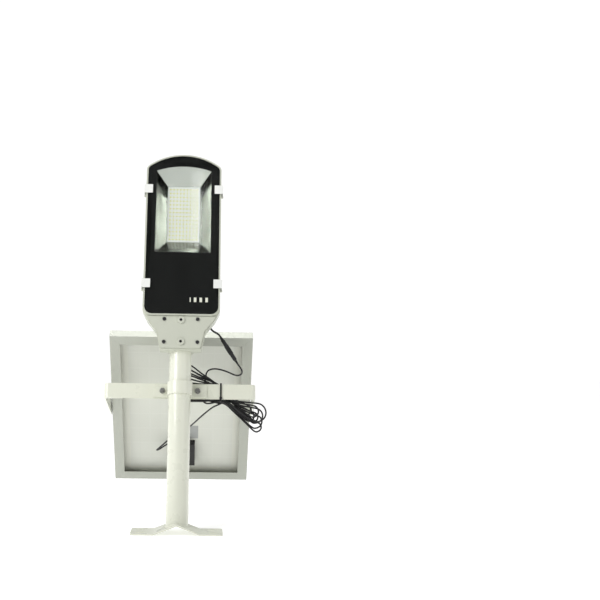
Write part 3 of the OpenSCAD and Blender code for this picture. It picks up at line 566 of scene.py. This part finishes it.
def moulded(name, base, rough, grain=1.0, lift=None):
    """Moulded plastic or rubber: fine spark texture, scuffs that catch the light."""
    look = Look(name, base, rough)
    look.mottle(40, lift or tuple(c * 1.8 + 0.006 for c in base), 0.55)
    look.uneven(80, 0.08)
    look.bump(look.noise(1900, 2), 0.00015 * grain, 0.5)
    return look.done()


def cable_look():
    base = (0.005, 0.005, 0.0053)
    look = Look("CableSheath", base, 0.36)
    look.mottle(90, (0.013, 0.013, 0.0135), 0.6, detail=4)
    look.uneven(140, 0.1)
    look.bump(look.noise(900, 3), 0.0002, 0.35)
    look.bump(look.noise(60, 2), 0.0005, 0.3)
    return look.done()


def reflector_look():
    look = Look("ReflectorSheet", (0.43, 0.44, 0.415), 0.11, metal=1.0)
    lines = look.place(scale=(1, 1, 0.04), rotation=ARM_ROT)
    look.mottle(900, (0.36, 0.37, 0.345), 0.4, detail=4, where=lines)
    look.mottle(14, (0.39, 0.40, 0.365), 0.5)
    look.uneven(200, 0.05, 4, lines)
    look.bump(look.noise(22, 2), 0.0002, 0.25)
    look.bump(look.noise(1100, 3, lines), 0.00002, 0.3)
    return look.done()


def grid(look, where, across, up, line, offset=0.0):
    """1 on the gaps of a regular grid of cells, 0 inside them."""
    made = look.node("ShaderNodeTexBrick", offset=offset, squash=1.0)
    look.set(made, "Vector", where)
    look.set(made, "Scale", 1.0)
    look.set(made, "Brick Width", across)
    look.set(made, "Row Height", up)
    look.set(made, "Mortar Size", line)
    look.set(made, "Mortar Smooth", 0.15)
    return made.outputs["Fac"]


def outside(look, where, half):
    """1 outside a rectangle centred on the origin, 0 inside it."""
    axes = look.node("ShaderNodeSeparateXYZ")
    look.set(axes, 0, where)
    found = []
    for axis, size in enumerate(half):
        away = look.node("ShaderNodeMath", operation="ABSOLUTE")
        look.set(away, 0, axes.outputs[axis])
        found.append(look.scaled(away.outputs[0], 0, 1, size - 0.0008, size + 0.0008))
    either = look.node("ShaderNodeMath", operation="MAXIMUM")
    look.set(either, 0, found[0])
    look.set(either, 1, found[1])
    return either.outputs[0]


def panel_place(look, shift=(0, 0, 0)):
    corner = PANEL_FACE @ Vector(shift)
    return look.place(rotation=tuple(PANEL_FACE.to_euler()), location=tuple(corner))


CELL_W, CELL_H = 0.094, 0.056     # four cells across the panel and nine up it


def cells_look():
    """Dark blue cells with white gaps and silver busbars."""
    look = Look("SolarCells", (0.012, 0.02, 0.062), 0.28, coat=0.3)
    corner = panel_place(look, (-2 * CELL_W, -4.5 * CELL_H, 0))
    look.mottle(60, (0.02, 0.035, 0.1), 0.7, detail=5)
    look.mottle(500, (0.03, 0.05, 0.13), 0.5, detail=2)
    fingers = grid(look, corner, 1.0, 0.002, 0.00012)
    look.tint(look.scaled(fingers, 0, 0.35, 0, 1), (0.35, 0.37, 0.4))
    first_bar = panel_place(look, (-2 * CELL_W - CELL_W / 6, -4.5 * CELL_H, 0))
    bars = grid(look, first_bar, CELL_W / 3, 2.0, 0.0007)
    look.tint(bars, (0.62, 0.63, 0.64))
    look.tint(grid(look, corner, CELL_W, CELL_H, 0.0011), (0.78, 0.79, 0.78))
    look.bump(bars, 0.0002, 0.5)
    look.uneven(50, 0.06)
    return look.done()


def backsheet_look():
    """White film. The cells behind it show as a faint grid."""
    base = (0.68, 0.695, 0.625)
    look = Look("Backsheet", base, 0.5)
    corner = panel_place(look, (-0.188, -0.252, 0))
    look.mottle(5, darker(base, 0.94), 0.6)
    look.tint(look.scaled(grid(look, corner, CELL_W, CELL_H, 0.0022), 0, 0.1, 0, 1), (0.86, 0.87, 0.83))
    look.tint(look.scaled(grid(look, corner, 0.0313, 2.0, 0.0009), 0, 0.13, 0, 1), darker(base, 0.8))
    border = outside(look, panel_place(look), (0.154, 0.236))
    look.tint(look.scaled(border, 0, 0.3, 0, 1), (0.80, 0.80, 0.68))
    look.bump(grid(look, corner, CELL_W, CELL_H, 0.003), 0.0003, 0.4)
    look.bump(look.noise(120, 3), 0.0003, 0.25)
    look.uneven(25, 0.08)
    return look.done()


def rating_look():
    """Plain grey film; nothing is printed on it."""
    look = Look("RatingFilm", (0.36, 0.375, 0.36), 0.4)
    look.mottle(60, (0.30, 0.31, 0.30), 0.6, detail=4)
    look.mottle(9, (0.42, 0.43, 0.42), 0.6)
    look.uneven(60, 0.08)
    look.bump(look.noise(140, 3), 0.0003, 0.3)
    return look.done()


def print_look():
    look = Look("FiredPrint", (0.006, 0.0065, 0.0063), 0.5, specular=0.2)
    look.mottle(6, (0.009, 0.01, 0.0095), 0.7)
    look.mottle(800, (0.013, 0.013, 0.013), 0.3, detail=1)
    look.uneven(30, 0.1)
    look.bump(look.noise(700, 2), 0.0001, 0.4)
    return look.done()


def board_look():
    look = Look("WhiteMask", (0.93, 0.935, 0.91), 0.4)
    where = look.place(rotation=ARM_ROT)
    look.tint(look.scaled(grid(look, where, 0.0104, 0.0113, 0.0006), 0, 0.25, 0, 1), (0.7, 0.72, 0.66))
    look.mottle(20, (0.86, 0.865, 0.83), 0.5)
    look.uneven(120, 0.06)
    look.bump(look.noise(500, 3), 0.0001, 0.4)
    return look.done()


def circuit_look():
    """Green solder mask with copper runs under it."""
    look = Look("SolderMask", (0.012, 0.09, 0.035), 0.32, coat=0.4)
    where = look.place(rotation=ARM_ROT)
    look.tint(look.scaled(grid(look, where, 0.011, 0.006, 0.0006, 0.5), 0, 0.7, 0, 1), (0.03, 0.2, 0.08))
    look.mottle(300, (0.008, 0.06, 0.025), 0.5)
    look.uneven(60, 0.07)
    look.bump(grid(look, where, 0.011, 0.006, 0.0006, 0.5), 0.0001, 0.6)
    return look.done()


def phosphor_look():
    look = Look("Phosphor", (0.90, 0.87, 0.10), 0.35, coat=0.5)
    look.mottle(900, (0.92, 0.90, 0.25), 0.5)
    look.mottle(60, (0.84, 0.86, 0.15), 0.5)
    look.uneven(300, 0.08)
    look.bump(look.noise(2500, 2), 0.00005, 0.5)
    return look.done()


def sleeve_look():
    look = Look("ShrinkSleeve", (0.03, 0.10, 0.46), 0.3, coat=0.3)
    look.mottle(50, (0.05, 0.15, 0.55), 0.6)
    look.uneven(90, 0.07)
    look.bump(look.noise(160, 3), 0.0004, 0.4)
    return look.done()


CREAM = (0.75, 0.765, 0.65)
LOOKS = {
    "paint": powder_coat("PowderCoat", CREAM, 0.3, 1.0, 0.7),
    "cast_paint": powder_coat("CastPowderCoat", (0.56, 0.58, 0.49), 0.42, 2.2, 0.15),
    "spring_steel": powder_coat("ClipCoat", (0.84, 0.85, 0.82), 0.3, 0.8),
    "steel": plated("ZincPlate", (0.42, 0.42, 0.40)),
    "dark_steel": plated("BlackOxide", (0.07, 0.07, 0.072), 0.42, 0.8),
    "nickel": plated("NickelStrip", (0.66, 0.64, 0.58), 0.28, 1.0),
    "terminal": plated("PlatedBrass", (0.62, 0.45, 0.18), 0.3, 1.0),
    "frame": brushed("AnodisedFrame", (0.46, 0.475, 0.42), 0.38, 0.8, (1, 1, 1), 700),
    "reflector": reflector_look(),
    "glass": clear_glass("CoverGlass", (0.985, 0.997, 0.988), 1.16),
    "solar_glass": clear_glass("SolarGlass", (0.94, 0.97, 0.98), 1.4),
    "print": print_look(),
    "gasket": moulded("Silicone", (0.035, 0.035, 0.035), 0.6),
    "seal": moulded("SealRubber", (0.55, 0.08, 0.02), 0.5),
    "board": board_look(),
    "led": board_look(),
    "pcb": circuit_look(),
    "component": moulded("Component", (0.03, 0.03, 0.034), 0.4),
    "cell_sleeve": sleeve_look(),
    "moulding": moulded("BlackNylon", (0.005, 0.005, 0.0052), 0.44, 1.4, lift=(0.011, 0.011, 0.0112)),
    "pivot_washer": moulded("WhiteNylon", (0.74, 0.74, 0.70), 0.4, lift=(0.80, 0.80, 0.76)),
    "cells": cells_look(),
    "backsheet": backsheet_look(),
    "rating": rating_look(),
    "cable": cable_look(),
}
PHOSPHOR = phosphor_look()

for node in NODES.values():
    for slot in node.material_slots:
        slot.material = LOOKS[slot.material.name]


def finish_piece(piece, slot, body=None, replaces=(), looks=None):
    """Gives a new piece the materials of its slot, puts it on its body where one is given, and hides the
    nodes it replaces.
    """
    for look in looks or [LOOKS[slot]]:
        piece.data.materials.append(look)
    if body:
        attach(piece, body)
    if replaces:
        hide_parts(*replaces)
    return piece


for cord in cords:
    finish_piece(cord, "cable")

# ---------- edges of the CAD nodes ----------

EDGE_WIDTHS = {
    "lamp_housing": 0.0009, "neck_cover": 0.0009, "arm_tube": 0.0005, "pole_bracket": 0.0009,
    "u_bracket": 0.0009, "saddle_strap": 0.0009, "frame_top": 0.0006, "frame_bottom": 0.0006,
    "frame_left": 0.0006, "frame_right": 0.0006, "junction_box": 0.0009, "junction_lid": 0.0009,
    "cover_glass": 0.0006, "clip_upper_left": 0.0004, "clip_upper_right": 0.0004,
    "clip_lower_left": 0.0004, "clip_lower_right": 0.0004, "clamp_bolts": 0.0003,
    "clamp_washers": 0.0002, "clamp_nuts": 0.0004, "pivot_bolts": 0.0004, "pivot_nuts": 0.0004,
    "pivot_washers": 0.0003, "cover_screws": 0.0003, "arm_clamp_screws": 0.0003,
    "reflector": 0.0003, "battery_cradle": 0.0004, "controller_parts": 0.0003,
    "panel_glass": 0.0003, "lamp_gland_body": 0.0004, "lamp_gland_locknut": 0.0004,
}


WELD_REACH = 0.000004
FLAT_DEG = 0.4        # faces that meet at less than this are made one
EDGE_DEG = 32         # edges sharper than this are rounded


def round_edges(node, width):
    piece = NODES[node]
    weld = piece.modifiers.new("Weld", "WELD")
    weld.merge_threshold = WELD_REACH
    flat = piece.modifiers.new("Flat", "DECIMATE")
    flat.decimate_type = "DISSOLVE"
    flat.angle_limit = math.radians(FLAT_DEG)
    bevel = piece.modifiers.new("Edges", "BEVEL")
    bevel.width = width
    bevel.segments = 2
    bevel.limit_method = "ANGLE"
    bevel.angle_limit = math.radians(EDGE_DEG)
    bevel.use_clamp_overlap = True
    bevel.harden_normals = False
    shade = piece.modifiers.new("Normals", "WEIGHTED_NORMAL")
    shade.keep_sharp = False
    shade.weight = 60


for name, width in EDGE_WIDTHS.items():
    round_edges(name, width)

# ---------- detailed pieces ----------

BLACK = "moulding"

# The folded pole bracket falls by its rise over its half width, on each side of its middle.
BRACKET_RISE = 0.023
BRACKET_HALF = 0.060

# The foot of the gland's dome nut, in the panel's frame.
BOX_GLAND = (0.019, 0.0, (PANEL.inverted() @ middle("junction_gland")).z - 0.0045)


def islands(node):
    """Lowest and highest corner of each loose piece of a CAD node, in the arm's frame."""
    bm = bmesh.new()
    bm.from_mesh(NODES[node].data)
    bmesh.ops.remove_doubles(bm, verts=bm.verts, dist=WELD_REACH)
    bm.transform(ARM.inverted())
    left = set(bm.verts)
    found = []
    for first in bm.verts:
        if first not in left:
            continue
        left.discard(first)
        island, stack = [], [first]
        while stack:
            vert = stack.pop()
            island.append(tuple(vert.co))
            for edge in vert.link_edges:
                other = edge.other_vert(vert)
                if other in left:
                    left.discard(other)
                    stack.append(other)
        points = np.array(island)
        found.append((points.min(0), points.max(0)))
    bm.free()
    return found


def make_leds():
    """White packages with a raised rim and a domed phosphor pad in each."""
    bm = bmesh.new()
    steps = (   # size, depth behind the front face, how far the corners are cut
        (1.0, None, 0.1), (1.0, 0.0002, 0.1), (0.96, 0.0, 0.12), (0.88, 0.0, 0.35), (0.84, 0.00025, 0.4),
        (0.55, 0.0001, 0.55), (0.2, 0.00004, 0.58),
    )
    for low, high in islands("leds"):
        centre, half = (low + high) / 2, (high - low) / 2
        rings = []
        for size, depth, cut in steps:
            y = high[1] if depth is None else low[1] + depth
            s = 1 - cut
            outline = ((1, s), (s, 1), (-s, 1), (-1, s), (-1, -s), (-s, -1), (s, -1), (1, -s))
            rings.append([
                bm.verts.new((centre[0] + half[0] * size * u, y, centre[2] + half[2] * size * v))
                for u, v in outline
            ])
        for k, (a, b) in enumerate(zip(rings, rings[1:])):
            for i in range(8):
                j = (i + 1) % 8
                face = bm.faces.new((a[i], a[j], b[j], b[i]))
                face.material_index = 1 if k >= 4 else 0
                face.smooth = k >= 4
        top = bm.faces.new(rings[-1])
        top.material_index = 1
        top.smooth = True
        bm.faces.new(rings[0][::-1])
    bmesh.ops.recalc_face_normals(bm, faces=bm.faces)
    bm.transform(ARM)
    mesh = bpy.data.meshes.new("LedArray")
    bm.to_mesh(mesh)
    bm.free()
    return finish_piece(add_object("LedArray", mesh), "led", "lamp", ["leds"], [LOOKS["led"], PHOSPHOR])


def between(start, end):
    """A frame at start with its Z towards end."""
    start, end = Vector(start), Vector(end)
    return Matrix.Translation(start) @ (end - start).to_track_quat("Z", "X").to_matrix().to_4x4()


def turned_piece(name, profile, place, replaced, body="lamp", around=48, flutes=0, depth=0.0):
    bm = turned(profile, around, flutes, depth)
    bm.transform(place)
    return finish_piece(add_object(name, mesh_from(bm, name)), BLACK, body, replaced)


def relief_rings(start, end, r_start, r_end, ribs):
    """Profile of a tapered strain relief with ring grooves cut round it."""
    profile = []
    for k in range(ribs):
        for share, cut in ((0.0, 0.0), (0.55, 0.0), (0.62, 0.0005), (0.92, 0.0005)):
            t = (k + share) / ribs
            profile.append((r_start + (r_end - r_start) * t - cut, start + (end - start) * t))
    return profile + [(r_end, end)]


def make_connector():
    place = ARM @ between(*CONNECTOR_ENDS)
    length = (Vector(CONNECTOR_ENDS[1]) - Vector(CONNECTOR_ENDS[0])).length
    mate = 0.046
    socket = [
        (0.0029, 0), *relief_rings(0.0004, 0.0092, 0.0035, 0.0045, 4), (0.0050, 0.0096),
        (0.0054, 0.0103), (0.0054, 0.0278), (0.0051, 0.0282), (0.0051, 0.0318), (0.0040, 0.032),
        (0.0040, mate), (0, mate),
    ]
    plug = [
        (0, mate), (0.0051, mate), (0.0054, mate + 0.0004), (0.0054, length - 0.0135),
        (0.0050, length - 0.0125), *relief_rings(length - 0.012, length - 0.0003, 0.0042, 0.0028, 5),
        (0.0022, length),
    ]
    collar = [
        (0.0054, 0.028), (0.0060, 0.028), (0.0063, 0.0285), (0.0064, 0.030), (0.0064, 0.0350),
        (0.0062, 0.0354), (0.0062, 0.0362), (0.0064, 0.0366), (0.0064, 0.0540), (0.0062, 0.0556),
        (0.0060, 0.056), (0.0054, 0.056),
    ]
    return [
        turned_piece("ConnectorSocket", socket, place, ["connector_socket"]),
        turned_piece("ConnectorPlug", plug, place, ["connector_plug"]),
        turned_piece("ConnectorCollar", collar, place, ["connector_collar"], around=120, flutes=20,
                     depth=0.0005),
    ]


def make_lamp_gland_nut():
    low, high = arm_box("lamp_gland_nut")
    x, y = (low.x + high.x) / 2, (low.y + high.y) / 2
    place = ARM @ Matrix.Translation((x, y, high.z)) @ Matrix.Rotation(math.pi, 4, "X")
    r, bore, tall = (high.x - low.x) / 2, LAMP_LEAD_D / 2, high.z - low.z
    profile = [
        (bore, 0), (r - 0.0006, 0), (r, 0.0006), (r, 0.55 * tall), (0.95 * r, 0.62 * tall),
        (0.87 * r, 0.75 * tall), (0.76 * r, 0.9 * tall), (0.62 * r, tall), (bore + 0.0007, tall),
        (bore, tall - 0.0006),
    ]
    return turned_piece("LampGlandNut", profile, place, ["lamp_gland_nut"], around=96, flutes=12,
                        depth=0.0008)


def strap(path, width, thick, side):
    """A flat strap along a path in the plane across side, with ridges on its outer face."""
    ridge_depth, edge, w = 0.00012, 0.0004, width / 2
    bm = bmesh.new()
    line = [Vector(p) for p in path]
    rings = []
    for k, p in enumerate(line):
        ahead = (line[min(k + 1, len(line) - 1)] - line[max(k - 1, 0)]).normalized()
        out = side.cross(ahead).normalized()
        ridge = ridge_depth if k % 2 else 0.0
        ring = [
            (-w, 0), (-w, thick - edge), (-w + edge, thick), (-0.6 * w, thick),
            (-0.55 * w, thick - ridge), (0.55 * w, thick - ridge),
            (0.6 * w, thick), (w - edge, thick), (w, thick - edge), (w, 0),
        ]
        rings.append([bm.verts.new(p + side * u + out * v) for u, v in ring])
    for a, b in zip(rings, rings[1:]):
        for i in range(len(a)):
            j = (i + 1) % len(a)
            bm.faces.new((a[i], a[j], b[j], b[i]))
    bm.faces.new(rings[0][::-1])
    bm.faces.new(rings[-1])
    bmesh.ops.recalc_face_normals(bm, faces=bm.faces)
    return bm


def make_cable_tie():
    """A nylon tie round the bar and the hank, pulled tight under the bar, with its head in front."""
    corners = [
        (0.0284, 0.3665), (0.0284, 0.4040), (0.0300, 0.4062), (0.0345, 0.4068), (0.0450, 0.4080),
        (0.0560, 0.4065), (0.0600, 0.4020), (0.0612, 0.3950), (0.0612, 0.3700), (0.0606, 0.3625),
        (0.0575, 0.3585), (0.0500, 0.3572), (0.0430, 0.3578), (0.0370, 0.3600), (0.0310, 0.3622),
        (0.0288, 0.3640),
    ]
    ridge_step, width, thick = 0.0012, 0.0046, 0.0012
    path = smooth_route([(TIE_X, y, z) for y, z in corners], ridge_step)
    bm = strap(path, width, thick, Vector((1, 0, 0)))
    box_mesh(bm, (TIE_X - 0.0036, 0.0252, 0.3628), (TIE_X + 0.0036, 0.0298, 0.3688), 0.0006)
    box_mesh(bm, (TIE_X - 0.0023, 0.0268, 0.3570), (TIE_X + 0.0023, 0.0281, 0.3632), 0.0003)
    bm.transform(ARM)
    tie = add_object("CableTie", mesh_from(bm, "CableTie", 30))
    return finish_piece(tie, BLACK, "bracket", ["cable_tie"])


def make_weld_bead():
    """The weld round the arm's foot, where it meets the folded pole bracket."""
    tube_low, tube_high = arm_box("arm_tube")
    r = (tube_high.x - tube_low.x) / 2
    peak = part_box("pole_bracket")[1].z
    slope = BRACKET_RISE / BRACKET_HALF
    count, around, clear, thick, ripple, waver = 240, 8, 0.0004, 0.0024, 0.0003, 0.0002
    bm = bmesh.new()
    rings = []
    for k in range(count):
        a = 2 * math.pi * k / count
        x, y = (r + clear) * math.cos(a), (r + clear) * math.sin(a)
        surface = peak - abs(x) * slope
        z = (surface + y * math.sin(LEAN)) / math.cos(LEAN)
        fat = thick + ripple * math.cos(60 * a) + waver * math.sin(7 * a)
        out = Vector((math.cos(a), math.sin(a), 0))
        up = Vector((0, 0, 1))
        rings.append([
            bm.verts.new(Vector((x, y, z)) + fat * (math.cos(b) * out + math.sin(b) * up))
            for b in (2 * math.pi * i / around for i in range(around))
        ])
    for a, b in zip(rings, rings[1:] + rings[:1]):
        for i in range(around):
            j = (i + 1) % around
            bm.faces.new((a[i], a[j], b[j], b[i]))
    bmesh.ops.recalc_face_normals(bm, faces=bm.faces)
    bm.transform(ARM)
    return finish_piece(add_object("FootWeld", mesh_from(bm, "FootWeld", 80)), "paint", "lamp")


def make_glass_marks():
    """Four plain light bars, where the photo's lamp has lettering on its glass."""
    face = arm_box("cover_glass")[0].y
    front, back = face - 0.00012, face - 0.00001
    bottom, top, edge = 0.6165, 0.6295, 0.00004
    bm = bmesh.new()
    for x, wide in ((0.0240, 0.0026), (0.0375, 0.0070), (0.0530, 0.0070), (0.0690, 0.0070)):
        box_mesh(bm, (x - wide / 2, front, bottom), (x + wide / 2, back, top), edge, 1)
    bm.transform(ARM)
    return finish_piece(add_object("GlassMarks", mesh_from(bm, "GlassMarks", 30)), "paint", "lamp")


def make_junction_gland():
    """A narrow round neck, then a fluted dome nut that narrows to the lead."""
    place = PANEL @ Matrix.Translation(BOX_GLAND)
    profile = [
        (0.0040, -0.0058), (0.0049, -0.0058), (0.0049, -0.0002), (0.0078, 0), (0.0080, 0.0003),
        (0.0080, 0.0052), (0.0077, 0.0062), (0.0070, 0.0085), (0.0062, 0.0115), (0.0052, 0.0147),
        (0.0030, 0.0150), (PANEL_LEAD_D / 2, 0.0146),
    ]
    return turned_piece("JunctionGlandNut", profile, place, ["junction_gland"], "panel", 96, 12, 0.0007)


make_leds()
make_connector()
make_lamp_gland_nut()
make_cable_tie()
make_weld_bead()
make_glass_marks()
make_junction_gland()

# ---------- stage and light ----------

FLOOR_RADIUS = 14.0
FLOOR_GLOW = 0.39
WORLD_FRONT, WORLD_BACK = 0.34, 1.06     # light from in front of the part and from behind it

# The dark gap: the way to its middle, the cosines at its edge and where it is darkest, and how dark.
GAP_TOWARDS = (-0.015, -0.85, 0.53)
GAP_EDGE, GAP_CORE, GAP_LEVEL = 0.955, 0.992, 0.3

# The mirror panels stand on a plane this far from the head, so many degrees above its level.
HEAD = Vector((0, 0.18, 0.86))
MIRROR_DISTANCE = 2.6
MIRROR_LIFT = 36.5


def make_floor():
    """A plain pale floor, a hair under what the part stands on."""
    bm = bmesh.new()
    bmesh.ops.create_circle(bm, cap_ends=True, segments=96, radius=FLOOR_RADIUS)
    floor_z = CAD_BOX[0].z - 0.0006
    bm.transform(Matrix.Translation((0, 0, floor_z)))
    mesh = bpy.data.meshes.new("Floor")
    bm.to_mesh(mesh)
    bm.free()
    floor = add_object("Floor", mesh)
    look = Look("FloorPaper", (0.86, 0.86, 0.86), 0.85)
    look.mottle(2.5, (0.84, 0.84, 0.845), 0.5)
    look.bump(look.noise(260, 3), 0.0003, 0.15)
    look.set(look.shader, "Emission Color", (1, 1, 1, 1))
    look.set(look.shader, "Emission Strength", FLOOR_GLOW)
    floor.data.materials.append(look.done())


def area_light(name, place, away, size, radiance):
    """A rectangular light at a place, shining back along away. The camera doesn't see it."""
    data = bpy.data.lights.new(name, "AREA")
    data.shape = "RECTANGLE"
    data.size, data.size_y = size
    data.energy = radiance * math.pi * size[0] * size[1]
    turn = away.to_track_quat("Z", "Y").to_matrix().to_4x4()
    add_object(name, data, Matrix.Translation(place) @ turn).visible_camera = False


def softbox(name, azimuth, elevation, distance, size, radiance):
    """A light aimed at the middle of the part. Azimuth 0 is in front, positive to the right."""
    az, el = math.radians(azimuth), math.radians(elevation)
    away = Vector((math.sin(az) * math.cos(el), -math.cos(az) * math.cos(el), math.sin(el)))
    area_light(name, (CAD_BOX[0] + CAD_BOX[1]) / 2 + away * distance, away, size, radiance)


def mirror_panel(name, across, up, size, radiance):
    """A small bright panel in front of the lamp head, where a wall of its reflector sees it."""
    lift = math.radians(MIRROR_LIFT)
    away = Vector((0, -math.cos(lift), math.sin(lift)))
    rise = Vector((0, math.sin(lift), math.cos(lift)))
    place = HEAD + MIRROR_DISTANCE * away + across * Vector((1, 0, 0)) + up * rise
    area_light(name, place, away, size, radiance)


def make_world():
    """White behind everything; as light, dimmer at the front with a dark gap for the glass to mirror."""
    world = bpy.data.worlds.new("Studio")
    world.use_nodes = True
    bpy.context.scene.world = world
    tree = world.node_tree
    background = tree.nodes["Background"]
    place = tree.nodes.new("ShaderNodeTexCoord").outputs["Generated"]

    def dot(direction):
        made = tree.nodes.new("ShaderNodeVectorMath")
        made.operation = "DOT_PRODUCT"
        tree.links.new(place, made.inputs[0])
        made.inputs[1].default_value = direction
        return made.outputs["Value"]

    def ramp(value, start, stop, low, high):
        made = tree.nodes.new("ShaderNodeMapRange")
        tree.links.new(value, made.inputs["Value"])
        for socket, number in zip(RANGE_SOCKETS, (start, stop, low, high)):
            made.inputs[socket].default_value = number
        return made.outputs[0]

    front = ramp(dot((0, 1, 0)), -0.5, 0.4, WORLD_FRONT, WORLD_BACK)
    gap = ramp(dot(GAP_TOWARDS), GAP_EDGE, GAP_CORE, 1.0, GAP_LEVEL)
    product = tree.nodes.new("ShaderNodeMath")
    product.operation = "MULTIPLY"
    tree.links.new(front, product.inputs[0])
    tree.links.new(gap, product.inputs[1])
    seen = tree.nodes.new("ShaderNodeMapRange")
    tree.links.new(tree.nodes.new("ShaderNodeLightPath").outputs["Is Camera Ray"], seen.inputs["Value"])
    tree.links.new(product.outputs[0], seen.inputs["To Min"])
    seen.inputs["To Max"].default_value = WORLD_BACK
    tree.links.new(seen.outputs[0], background.inputs["Strength"])
    background.inputs["Color"].default_value = (1, 1, 1, 1)


bpy.context.scene.view_settings.view_transform = "Standard"
make_floor()
make_world()
softbox("Key", -50, 32, 2.5, (1.2, 1.5), 6.2)
softbox("Fill", 50, 25, 3.0, (1.4, 1.4), 0.8)
softbox("Overhead", 180, 68, 2.2, (1.5, 0.8), 2.6)
mirror_panel("LeftWallPanel", 0.018, 0.03, (0.055, 0.38), 18.0)
mirror_panel("RightWallPanel", 0.095, 0.03, (0.03, 0.36), 0.5)
